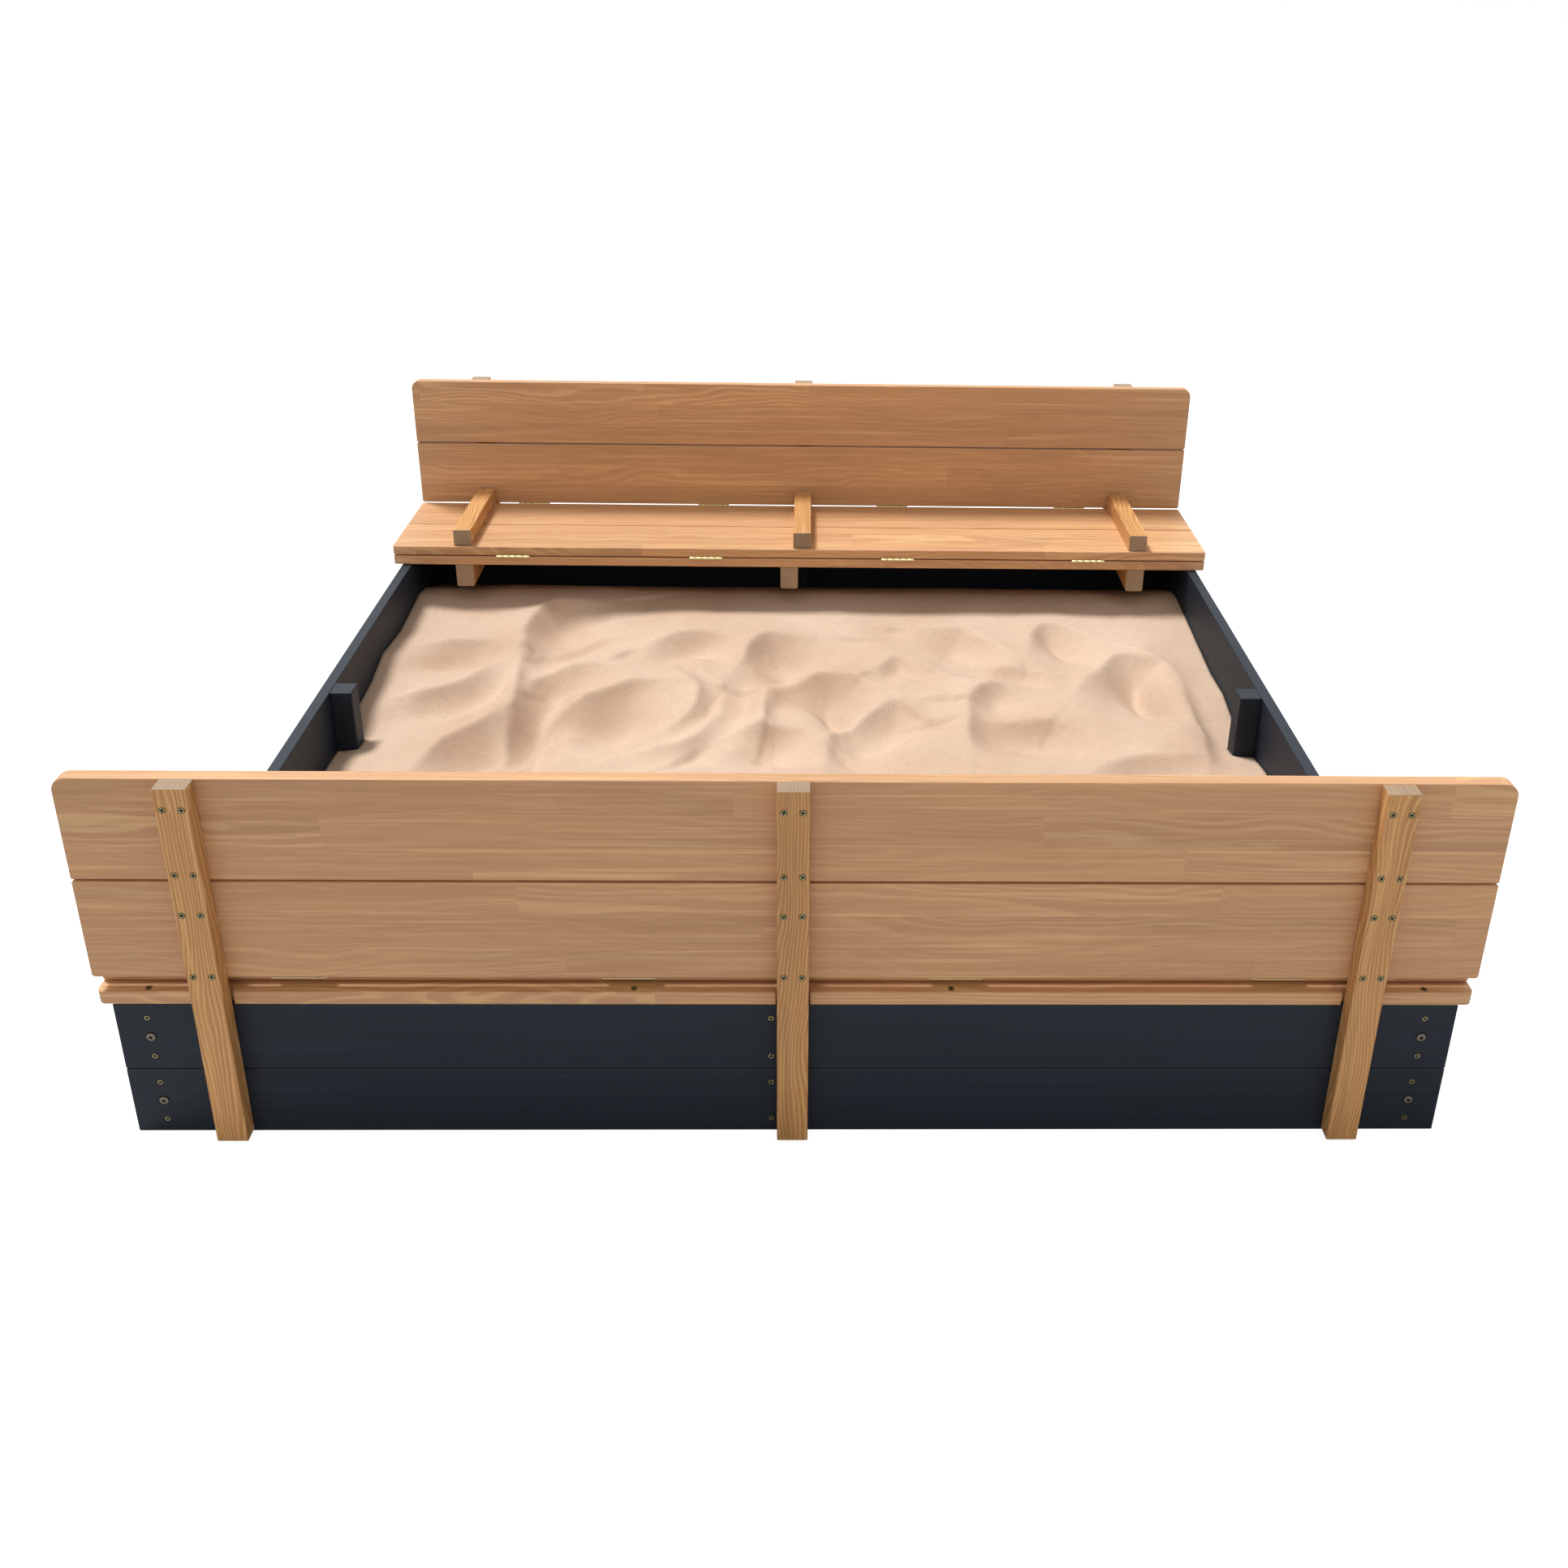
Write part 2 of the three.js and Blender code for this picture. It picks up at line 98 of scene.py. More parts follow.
def linear(hex_colour: str) -> tuple[float, float, float, float]:
    """Turns an sRGB hex colour into the linear one that a shader wants.

    Args:
        hex_colour: The colour as "#rrggbb".

    Returns:
        Red, green, blue and a full alpha, linear.
    """
    digits = hex_colour.lstrip("#")
    channels = [int(digits[i : i + 2], 16) / 255.0 for i in (0, 2, 4)]
    bent = [c / 12.92 if c <= 0.04045 else ((c + 0.055) / 1.055) ** 2.4 for c in channels]
    return (bent[0], bent[1], bent[2], 1.0)


def add(
    tree: bpy.types.NodeTree,
    kind: str,
    settings: dict[str, Any] | None = None,
    inputs: dict[int | str, Any] | None = None,
) -> bpy.types.Node:
    """Adds a node with its settings, and sets or links its inputs.

    Args:
        tree: The tree that gets the node.
        kind: The node's type name.
        settings: Attributes to set on the node.
        inputs: For each input, by index or name, a socket to link from or a plain value.

    Returns:
        The new node.
    """
    node = tree.nodes.new(kind)
    for name, value in (settings or {}).items():
        setattr(node, name, value)
    for key, value in (inputs or {}).items():
        if isinstance(value, bpy.types.NodeSocket):
            tree.links.new(value, node.inputs[key])
        else:
            node.inputs[key].default_value = value
    return node


def ramp(
    tree: bpy.types.NodeTree,
    source: bpy.types.NodeSocket,
    stops: Sequence[tuple[float, float]],
) -> bpy.types.NodeSocket:
    """Bends a number through a piecewise linear curve drawn as grey stops.

    Args:
        tree: The tree to add to.
        source: The number, from 0 to 1.
        stops: Pairs of place and height, in order.

    Returns:
        The socket with the bent number.
    """
    node = add(tree, "ShaderNodeValToRGB", inputs={0: source})
    elements = node.color_ramp.elements
    while len(elements) < len(stops):
        elements.new(0.5)
    for element, (place, height) in zip(elements, stops):
        element.position = place
        element.color = (height, height, height, 1.0)
    return node.outputs["Color"]


def mix_colour(
    tree: bpy.types.NodeTree, share: Any, first: Any, second: Any, blend: str = "MIX"
) -> bpy.types.NodeSocket:
    """Mixes two colours.

    Args:
        tree: The tree to add to.
        share: How much of the second, as a socket or a number.
        first: The first colour, as a socket or a linear colour.
        second: The second colour, likewise.
        blend: The blend type.

    Returns:
        The mixed colour's socket.
    """
    node = add(
        tree,
        "ShaderNodeMix",
        {"data_type": "RGBA", "blend_type": blend},
        {0: share, 6: first, 7: second},
    )
    return node.outputs[2]


def reckon(tree: bpy.types.NodeTree, operation: str, *values: Any) -> bpy.types.NodeSocket:
    """Works out one sum with a Math node.

    Args:
        tree: The tree to add to.
        operation: The node's operation.
        values: Sockets or numbers, in order.

    Returns:
        The result's socket.
    """
    node = add(tree, "ShaderNodeMath", {"operation": operation}, dict(enumerate(values)))
    return node.outputs[0]


def stretched(
    tree: bpy.types.NodeTree, source: bpy.types.NodeSocket, scale: Sequence[float]
) -> bpy.types.NodeSocket:
    """Multiplies a vector by another, axis by axis.

    Args:
        tree: The tree to add to.
        source: The vector.
        scale: The three factors.

    Returns:
        The product's socket.
    """
    node = add(
        tree, "ShaderNodeVectorMath", {"operation": "MULTIPLY"}, {0: source, 1: tuple(scale)}
    )
    return node.outputs[0]


def new_surface(name: str) -> tuple[bpy.types.Material, bpy.types.NodeTree, bpy.types.Node]:
    """Makes a material whose tree holds only a Principled shader and the output.

    Args:
        name: The material's name.

    Returns:
        The material, its tree and the shader.
    """
    material = bpy.data.materials.new(name)
    material.use_nodes = True
    tree = material.node_tree
    tree.nodes.clear()
    shader = add(tree, "ShaderNodeBsdfPrincipled")
    add(tree, "ShaderNodeOutputMaterial", inputs={"Surface": shader.outputs[0]})
    return material, tree, shader


# ---------------------------------------------------------------- finishes


@dataclass(frozen=True)
class Timber:
    """Softwood cut along the grain, with its growth rings laid out in real millimetres.

    The boards carry two attributes: "grain_place" gives each point's place along, across and
    through its own board, and "board" a number from 0 to 1 that no other board has. So one
    material serves every board, whichever way it lies, and no two show the same grain.
    """

    name: str
    early: str
    late: str
    streak: str
    end_grain: str
    strip_mm: float
    stave_mm: float
    ring_mm: float
    ring_show: tuple[float, float]
    contrast: float
    tone_spread: float
    roughness: float
    sheen: float = 0.5
    knot_share: float = 0.16
    dust: str | None = None

    def build(self) -> bpy.types.Material:
        """Builds the material.

        Returns:
            The material, ready to put on a board.
        """
        material, tree, shader = new_surface(self.name)
        place, board, ends = (
            add(tree, "ShaderNodeAttribute", {"attribute_name": name}).outputs[socket]
            for name, socket in (("grain_place", "Vector"), ("board", "Fac"), ("end_grain", "Fac"))
        )
        split = add(tree, "ShaderNodeSeparateXYZ", inputs={0: place})
        along, across, through = split.outputs[0], split.outputs[1], split.outputs[2]

        # glued strips, each made of staves laid end to end, so tone and rings change at joints
        strip_place = reckon(tree, "DIVIDE", across, self.strip_mm * MM)
        strip = reckon(tree, "FLOOR", strip_place)
        shift_seed = add(tree, "ShaderNodeCombineXYZ", inputs={0: strip, 1: board, 2: 3.7})
        shift = add(
            tree, "ShaderNodeTexWhiteNoise", {"noise_dimensions": "3D"}, {0: shift_seed.outputs[0]}
        )
        stave_place = reckon(
            tree,
            "ADD",
            reckon(tree, "DIVIDE", along, self.stave_mm * MM),
            shift.outputs["Value"],
        )
        stave = reckon(tree, "FLOOR", stave_place)
        seed = add(tree, "ShaderNodeCombineXYZ", inputs={0: strip, 1: board, 2: stave})
        chance = add(
            tree, "ShaderNodeTexWhiteNoise", {"noise_dimensions": "3D"}, {0: seed.outputs[0]}
        )
        picks = add(tree, "ShaderNodeSeparateColor", inputs={0: chance.outputs["Color"]})
        tone, heart, strength = picks.outputs[0], picks.outputs[1], picks.outputs[2]

        # slow wander of the tree's heart along the stave, which opens the arches of flat grain
        offset = add(
            tree,
            "ShaderNodeVectorMath",
            {"operation": "MULTIPLY_ADD"},
            {0: seed.outputs[0], 1: (5.3, 7.1, 3.9), 2: place},
        )
        wander = add(
            tree,
            "ShaderNodeTexNoise",
            inputs={
                "Vector": stretched(tree, offset.outputs[0], (2.6, 9.0, 9.0)),
                "Scale": 1.0,
                "Detail": 2.0,
            },
        )
        ripple = add(
            tree,
            "ShaderNodeTexNoise",
            inputs={
                "Vector": stretched(tree, offset.outputs[0], (14.0, 70.0, 70.0)),
                "Scale": 1.0,
                "Detail": 3.0,
            },
        )
        middle = reckon(tree, "ADD", strip, 0.5)
        from_middle = reckon(
            tree,
            "MULTIPLY_ADD",
            reckon(tree, "SUBTRACT", strip_place, middle),
            self.strip_mm * MM,
            reckon(tree, "MULTIPLY", reckon(tree, "SUBTRACT", heart, 0.5), 0.05),
        )
        from_middle = reckon(
            tree,
            "MULTIPLY_ADD",
            reckon(tree, "SUBTRACT", wander.outputs["Fac"], 0.5),
            0.10,
            from_middle,
        )
        depth = reckon(
            tree, "ADD", through, reckon(tree, "MULTIPLY_ADD", heart, 0.045, 0.012)
        )
        radius = reckon(
            tree,
            "SQRT",
            reckon(
                tree,
                "ADD",
                reckon(tree, "MULTIPLY", from_middle, from_middle),
                reckon(tree, "MULTIPLY", depth, depth),
            ),
        )
        radius = reckon(tree, "MULTIPLY_ADD", along, 0.012, radius)
        radius = reckon(
            tree,
            "MULTIPLY_ADD",
            reckon(tree, "SUBTRACT", ripple.outputs["Fac"], 0.5),
            0.0045,
            radius,
        )

        # a few small knots, with the rings drawn round them
        knots = add(
            tree,
            "ShaderNodeTexVoronoi",
            {"feature": "F1"},
            {
                "Vector": stretched(tree, offset.outputs[0], (2.4, 11.0, 11.0)),
                "Scale": 1.0,
            },
        )
        knot_pick = add(tree, "ShaderNodeSeparateColor", inputs={0: knots.outputs["Color"]})
        is_knot = reckon(tree, "LESS_THAN", knot_pick.outputs[0], self.knot_share)
        near = reckon(
            tree,
            "MULTIPLY",
            is_knot,
            ramp(tree, knots.outputs["Distance"], [(0.0, 1.0), (0.10, 0.35), (0.24, 0.0)]),
        )
        radius = reckon(tree, "MULTIPLY_ADD", near, 0.010, radius)
        knot_core = reckon(
            tree,
            "MULTIPLY",
            is_knot,
            ramp(tree, knots.outputs["Distance"], [(0.0, 1.0), (0.045, 0.75), (0.075, 0.0)]),
        )

        ring = reckon(tree, "FRACT", reckon(tree, "DIVIDE", radius, self.ring_mm * MM))
        late = ramp(
            tree,
            ring,
            [(0.0, 0.10), (0.12, 0.0), (0.48, 0.04), (0.74, 0.9), (0.9, 1.0), (1.0, 0.1)],
        )
        faintest, boldest = self.ring_show
        vivid = reckon(
            tree,
            "MULTIPLY_ADD",
            reckon(tree, "MULTIPLY", strength, reckon(tree, "MULTIPLY", strength, strength)),
            boldest - faintest,
            faintest,
        )
        late = reckon(tree, "MULTIPLY", late, vivid)

        # fibres about a millimetre wide, drawn a little coarse so that they show from afar
        fibre = add(
            tree,
            "ShaderNodeTexNoise",
            inputs={
                "Vector": stretched(tree, place, (8.0, 330.0, 330.0)),
                "Scale": 1.0,
                "Detail": 4.0,
                "Roughness": 0.65,
            },
        )
        streaks = add(
            tree,
            "ShaderNodeTexNoise",
            inputs={
                "Vector": stretched(tree, offset.outputs[0], (2.6, 130.0, 130.0)),
                "Scale": 1.0,
                "Detail": 2.0,
            },
        )
        cloud = add(
            tree,
            "ShaderNodeTexNoise",
            inputs={
                "Vector": stretched(tree, offset.outputs[0], (2.0, 24.0, 24.0)),
                "Scale": 1.0,
                "Detail": 3.0,
            },
        )
        colour = mix_colour(tree, late, linear(self.early), linear(self.late))
        streak = ramp(tree, streaks.outputs["Fac"], [(0.0, 0.0), (0.56, 0.0), (0.70, 0.55)])
        colour = mix_colour(tree, streak, colour, linear(self.streak))
        colour = mix_colour(tree, knot_core, colour, linear(self.end_grain))
        fibre_share, cloud_share = 0.95 * self.contrast, 0.80 * self.contrast
        shade = reckon(
            tree,
            "MULTIPLY_ADD",
            reckon(tree, "SUBTRACT", tone, 0.5),
            self.tone_spread,
            reckon(
                tree,
                "MULTIPLY_ADD",
                fibre.outputs["Fac"],
                fibre_share,
                reckon(
                    tree,
                    "MULTIPLY_ADD",
                    cloud.outputs["Fac"],
                    cloud_share,
                    1.0 - (fibre_share + cloud_share) / 2.0,
                ),
            ),
        )
        # across the end of a stick the rings show dark
        shade = reckon(
            tree, "MULTIPLY_ADD", reckon(tree, "MULTIPLY", ends, late), -0.35, shade
        )
        colour = mix_colour(
            tree, reckon(tree, "MULTIPLY", ends, 0.85), colour, linear(self.end_grain)
        )
        grey = add(tree, "ShaderNodeCombineXYZ", inputs={0: shade, 1: shade, 2: shade})
        colour = mix_colour(tree, 1.0, colour, grey.outputs[0], "MULTIPLY")
        # the upward faces are painted paler: painted sky light and sheen on the tops, with some
        # dust
        if self.dust:
            colour = self.dusted(tree, colour, cloud.outputs["Fac"])
        height = reckon(
            tree,
            "MULTIPLY_ADD",
            fibre.outputs["Fac"],
            0.8,
            reckon(tree, "MULTIPLY", late, -0.5),
        )
        bump = add(
            tree,
            "ShaderNodeBump",
            inputs={"Strength": 0.55, "Distance": 0.25 * MM, "Height": height},
        )
        gloss = reckon(tree, "MULTIPLY_ADD", fibre.outputs["Fac"], 0.16, self.roughness - 0.08)
        shader.inputs["IOR"].default_value = 1.5
        shader.inputs["Specular IOR Level"].default_value = self.sheen
        tree.links.new(colour, shader.inputs["Base Color"])
        tree.links.new(gloss, shader.inputs["Roughness"])
        tree.links.new(bump.outputs[0], shader.inputs["Normal"])
        return material

    def dusted(
        self, tree: bpy.types.NodeTree, colour: bpy.types.NodeSocket, cloud: bpy.types.NodeSocket
    ) -> bpy.types.NodeSocket:
        """Paints the faces that look up paler: dusty tops, with painted sky light and sheen on
        them.

        Args:
            tree: The material's tree.
            colour: The wood's colour.
            cloud: A slow noise that makes the paler tops patchy.

        Returns:
            The colour with its paler tops.
        """
        normal = add(tree, "ShaderNodeNewGeometry").outputs["Normal"]
        upward = add(tree, "ShaderNodeSeparateXYZ", inputs={0: normal}).outputs[2]
        cover = ramp(tree, upward, [(0.0, 0.0), (0.6, 0.0), (0.95, 1.0)])
        dust_and_sheen_share = reckon(tree, "MULTIPLY", cover, reckon(tree, "MULTIPLY_ADD", cloud, 0.9, 0.35))
        return mix_colour(tree, dust_and_sheen_share, colour, linear(self.dust or self.early))


# Glued pine lid board under a brown oil stain: narrow strips that differ a little in tone, mostly
# quiet, with now and then a strip of strong arched grain and thin golden streaks.
LID_PINE = Timber(
    name="oiled_glued_pine_board",
    early="#c29166",
    late="#e4b884",
    streak="#e2b57f",
    end_grain="#a58467",
    strip_mm=41.0,
    stave_mm=760.0,
    ring_mm=6.0,
    ring_show=(0.16, 0.80),
    contrast=0.52,
    tone_spread=0.16,
    roughness=0.50,
)
# Sawn solid pine under the same oil: one stick, one set of rings, so the grain is bold and golden.
BATTEN_PINE = Timber(
    name="oiled_sawn_pine_stick",
    early="#ba824a",
    late="#e6b679",
    streak="#e0ae6d",
    end_grain="#98836c",
    strip_mm=400.0,
    stave_mm=4000.0,
    ring_mm=5.0,
    ring_show=(0.55, 1.0),
    contrast=0.70,
    tone_spread=0.10,
    roughness=0.52,
    knot_share=0.20,
)
# Softwood under an opaque anthracite stain: the fibres only show as a faint relief, and the upper
# faces are painted paler, as dusty tops with painted sky light and sheen.
BOX_SOFTWOOD = Timber(
    name="anthracite_stained_softwood",
    early="#131c28",
    late="#0f1721",
    streak="#1c2733",
    end_grain="#121a23",
    strip_mm=400.0,
    stave_mm=4000.0,
    ring_mm=7.0,
    ring_show=(0.15, 0.50),
    contrast=0.50,
    tone_spread=0.10,
    roughness=0.58,
    sheen=0.35,
    knot_share=0.05,
    dust="#1f272f",
)


@dataclass(frozen=True)
class Metal:
    """Small steel hardware with a plated or dull face, and painted shade in a screw head's cross
    and round its rim.
    """

    name: str
    face: str
    tarnish: str
    roughness: float

    def build(self) -> bpy.types.Material:
        """Builds the material.

        Returns:
            The material, ready to put on a fitting.
        """
        material, tree, shader = new_surface(self.name)
        place = add(tree, "ShaderNodeTexCoord").outputs["Object"]
        recess = add(tree, "ShaderNodeAttribute", {"attribute_name": "recess"}).outputs["Fac"]
        # blotches of a couple of millimetres, as chromate leaves on small zinc-plated parts
        blotch = add(
            tree, "ShaderNodeTexNoise", inputs={"Vector": place, "Scale": 450.0, "Detail": 2.0}
        )
        worn = ramp(tree, blotch.outputs["Fac"], [(0.0, 0.0), (0.45, 0.1), (0.75, 0.8)])
        colour = mix_colour(tree, worn, linear(self.face), linear(self.tarnish))
        # painted shade: the faces that a screw head marks as recess, in its cross and round its
        # rim, go near black
        colour = mix_colour(tree, recess, colour, linear("#15120e"))
        gloss = reckon(tree, "MULTIPLY_ADD", blotch.outputs["Fac"], 0.25, self.roughness - 0.12)
        bump = add(
            tree,
            "ShaderNodeBump",
            inputs={"Strength": 0.25, "Distance": 0.1 * MM, "Height": blotch.outputs["Fac"]},
        )
        shader.inputs["Metallic"].default_value = 1.0
        tree.links.new(colour, shader.inputs["Base Color"])
        tree.links.new(gloss, shader.inputs["Roughness"])
        tree.links.new(bump.outputs[0], shader.inputs["Normal"])
        return material


# Zinc-plated steel with a yellow chromate: a warm, slightly green shine on knuckles and screws.
YELLOW_ZINC = Metal("yellow_zinc_plated_steel", "#ebe1ae", "#c0b47a", 0.48)
# The same plating on screws driven below the wood's face: duller, with a painted shadow round the
# head.
SCREW_ZINC = Metal("driven_zinc_plated_screw_steel", "#c4b98e", "#857b56", 0.45)
# Bare rolled steel left outdoors: grey-brown and dull.
DULL_STEEL = Metal("dull_rolled_steel", "#8d8578", "#5f564a", 0.50)


@dataclass(frozen=True)
class PlaySand:
    """Dry washed play sand: pale grains of mixed tone that scatter the light."""

    name: str = "dry_washed_play_sand"
    light: str = "#ceb49c"
    warm: str = "#bb9c83"
    dark_grain: str = "#8d6d55"
    grain_mm: float = 1.6

    def build(self) -> bpy.types.Material:
        """Builds the material.

        Returns:
            The material, ready to put on the sand.
        """
        material, tree, shader = new_surface(self.name)
        place = add(tree, "ShaderNodeTexCoord").outputs["Object"]
        # real grains are under a millimetre; these are drawn at about twice that so they show
        grain = add(
            tree,
            "ShaderNodeTexNoise",
            inputs={
                "Vector": place,
                "Scale": 1.0 / (self.grain_mm * MM) / 2.0,
                "Detail": 3.0,
                "Roughness": 0.75,
            },
        )
        clump = add(
            tree, "ShaderNodeTexNoise", inputs={"Vector": place, "Scale": 60.0, "Detail": 4.0}
        )
        drift = add(
            tree, "ShaderNodeTexNoise", inputs={"Vector": place, "Scale": 5.0, "Detail": 2.0}
        )
        cells = add(
            tree,
            "ShaderNodeTexVoronoi",
            {"feature": "F1"},
            {"Vector": place, "Scale": 1.0 / (2.4 * self.grain_mm * MM)},
        )
        cell_pick = add(tree, "ShaderNodeSeparateColor", inputs={0: cells.outputs["Color"]})
        speck = reckon(
            tree,
            "MULTIPLY",
            reckon(tree, "LESS_THAN", cell_pick.outputs[0], 0.07),
            ramp(tree, cells.outputs["Distance"], [(0.0, 1.0), (0.22, 0.8), (0.34, 0.0)]),
        )
        colour = mix_colour(
            tree,
            ramp(tree, drift.outputs["Fac"], [(0.0, 0.0), (0.35, 0.1), (0.70, 0.7)]),
            linear(self.light),
            linear(self.warm),
        )
        tone = reckon(
            tree,
            "MULTIPLY_ADD",
            grain.outputs["Fac"],
            0.34,
            reckon(tree, "MULTIPLY_ADD", clump.outputs["Fac"], 0.14, 0.77),
        )
        grey = add(tree, "ShaderNodeCombineXYZ", inputs={0: tone, 1: tone, 2: tone})
        colour = mix_colour(tree, 1.0, colour, grey.outputs[0], "MULTIPLY")
        colour = mix_colour(
            tree, reckon(tree, "MULTIPLY", speck, 0.5), colour, linear(self.dark_grain)
        )
        height = reckon(
            tree,
            "MULTIPLY_ADD",
            clump.outputs["Fac"],
            1.6,
            grain.outputs["Fac"],
        )
        bump = add(
            tree,
            "ShaderNodeBump",
            inputs={"Strength": 0.6, "Distance": 0.8 * MM, "Height": height},
        )
        shader.inputs["Roughness"].default_value = 0.93
        shader.inputs["IOR"].default_value = 1.45
        shader.inputs["Specular IOR Level"].default_value = 0.2
        tree.links.new(colour, shader.inputs["Base Color"])
        tree.links.new(bump.outputs[0], shader.inputs["Normal"])
        return material


@dataclass
class FinishRack:
    """Every finish, built once and shared by the pieces."""

    lid: bpy.types.Material = field(default_factory=LID_PINE.build)
    stick: bpy.types.Material = field(default_factory=BATTEN_PINE.build)
    box: bpy.types.Material = field(default_factory=BOX_SOFTWOOD.build)
    zinc: bpy.types.Material = field(default_factory=YELLOW_ZINC.build)
    screw: bpy.types.Material = field(default_factory=SCREW_ZINC.build)
    steel: bpy.types.Material = field(default_factory=DULL_STEEL.build)
    sand: bpy.types.Material = field(default_factory=PlaySand().build)


# ---------------------------------------------------------------- shared making


def object_from(name: str, mesh: bpy.types.Mesh, material: bpy.types.Material) -> bpy.types.Object:
    """Puts a mesh in the scene at the origin with one material.

    Args:
        name: The piece's name.
        mesh: Its mesh, already in place.
        material: Its finish.

    Returns:
        The object.
    """
    mesh.materials.clear()
    mesh.materials.append(material)
    made = bpy.data.objects.new(name, mesh)
    bpy.context.scene.collection.objects.link(made)
    return made


def settle(
    piece: bpy.types.Object, body: str, nodes: Iterable[str] = ()
) -> bpy.types.Object:
    """Makes a finished piece ride on its body, and hides the model's nodes that it replaces.

    Args:
        piece: The finished piece.
        body: The body that it moves with.
        nodes: The model's nodes that it replaces.

    Returns:
        The same piece.
    """
    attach(piece, body)
    if nodes:
        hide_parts(*nodes)
    LOG.info("%s rides on %s, %d faces", piece.name, body, len(piece.data.polygons))
    return piece


@dataclass
class Board:
    """One planed board or stick: a block with eased edges and, if asked, rounded corners.

    It takes its place and size from the model's node of the same name. Each rounded edge is
    named by the sign of its place on each axis, with 0 on the axis that it runs along.
    """

    node: str
    grain: Axis
    through: Axis
    arris: float
    corner_radius: float = 0.0
    rounded: tuple[tuple[int, int, int], ...] = ()
    shy: tuple[float, float, float] = (0.0, 0.0, 0.0)
    shy_side: int = 0
    notches: tuple[tuple[float, float], ...] = ()
    notch_depth: float = 0.0

    @property
    def across(self) -> Axis:
        """The axis that is neither along the grain nor through the board."""
        return Axis(3 - self.grain.value - self.through.value)

    def limits(self) -> tuple[Vector, Vector]:
        """Gives the block's corners, drawn back where heads of screws need room.

        Returns:
            The lowest and the highest corner.
        """
        low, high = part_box(self.node)
        for axis in Axis:
            if self.shy_side > 0:
                high[axis.value] -= self.shy[axis.value]
            elif self.shy_side < 0:
                low[axis.value] += self.shy[axis.value]
        return low, high

    def mesh(self, number: float) -> bpy.types.Mesh:
        """Builds the board's mesh with its grain attributes.

        Args:
            number: A number from 0 to 1 that no other board has.

        Returns:
            The mesh, in place.
        """
        low, high = self.limits()
        middle = (high + low) / 2.0
        form = self.block(low, high)
        if self.corner_radius:
            corners = [e for e in form.edges if self.is_rounded_corner(e, middle)]
            bmesh.ops.bevel(
                form,
                geom=corners,
                offset=self.corner_radius,
                segments=8,
                profile=0.5,
                affect="EDGES",
            )
        sharp = [e for e in form.edges if e.calc_face_angle_signed(0.0) > SHARP_EDGE]
        bmesh.ops.bevel(
            form,
            geom=sharp,
            offset=self.arris,
            segments=3,
            profile=0.55,
            affect="EDGES",
            clamp_overlap=True,
        )
        bmesh.ops.remove_doubles(form, verts=form.verts, dist=TOUCH)
        bmesh.ops.recalc_face_normals(form, faces=form.faces)
        self.ease_shading(form)
        made = bpy.data.meshes.new(self.node + "_timber")
        form.to_mesh(made)
        form.free()
        self.write_grain(made, low, middle, number)
        return made

    def block(self, low: Vector, high: Vector) -> bmesh.types.BMesh:
        """Makes the plain block, with notches in its free edge if there are any.

        Args:
            low: The block's lowest corner.
            high: The block's highest corner.

        Returns:
            The block as a new mesh.
        """
        form = bmesh.new()
        far, near = (high.y, low.y) if (high.y + low.y) > 0.0 else (low.y, high.y)
        bottom = far - math.copysign(self.notch_depth, far)
        points = [(low.x, far), (low.x, near), (high.x, near), (high.x, far)]
        for start, end in sorted(self.notches, reverse=True):
            points += [(end, far), (end, bottom), (start, bottom), (start, far)]
        face = form.faces.new([form.verts.new((x, y, low.z)) for x, y in points])
        raised = bmesh.ops.extrude_face_region(form, geom=[face])["geom"]
        for corner in (v for v in raised if isinstance(v, bmesh.types.BMVert)):
            corner.co.z = high.z
        bmesh.ops.recalc_face_normals(form, faces=form.faces)
        return form

    def is_rounded_corner(self, edge: bmesh.types.BMEdge, middle: Vector) -> bool:
        """Says whether an edge of the block is one of the corners to round.

        Args:
            edge: The block's edge.
            middle: The block's middle.

        Returns:
            True for an edge whose place, by sign on each axis, is one of those named.
        """
        place = (edge.verts[0].co + edge.verts[1].co) / 2.0 - middle
        low, high = self.limits()
        is_outer = all(
            abs(c) < TOUCH or abs(abs(c) - half) < TOUCH
            for c, half in zip(place, (high - low) / 2.0)
        )
        signs = tuple(0 if abs(c) < TOUCH else int(math.copysign(1, c)) for c in place)
        return is_outer and signs in self.rounded

    @staticmethod
    def ease_shading(form: bmesh.types.BMesh) -> None:
        """Shades only the small easing faces smooth, so the flats stay flat.

        Args:
            form: The board being made.
        """
        for face in form.faces:
            face.smooth = max(abs(c) for c in face.normal) < FLAT_NORMAL

    def write_grain(
        self, made: bpy.types.Mesh, low: Vector, middle: Vector, number: float
    ) -> None:
        """Writes the attributes that the timber reads.

        Args:
            made: The finished mesh.
            low: The block's lowest corner.
            middle: The block's middle.
            number: The board's own number.
        """
        count = len(made.vertices)
        places = np.empty(count * 3, np.float64)
        made.vertices.foreach_get("co", places)
        places = places.reshape(-1, 3)
        grain_place = np.stack(
            [
                places[:, self.grain.value] - middle[self.grain.value],
                places[:, self.across.value] - low[self.across.value],
                places[:, self.through.value] - middle[self.through.value],
            ],
            axis=1,
        )
        attribute = made.attributes.new("grain_place", "FLOAT_VECTOR", "POINT")
        attribute.data.foreach_set("vector", grain_place.astype(np.float32).ravel())
        attribute = made.attributes.new("board", "FLOAT", "POINT")
        attribute.data.foreach_set("value", np.full(count, number, np.float32))
        ends = np.array(
            [1.0 if abs(p.normal[self.grain.value]) > 0.7 else 0.0 for p in made.polygons],
            np.float32,
        )
        attribute = made.attributes.new("end_grain", "FLOAT", "FACE")
        attribute.data.foreach_set("value", ends)


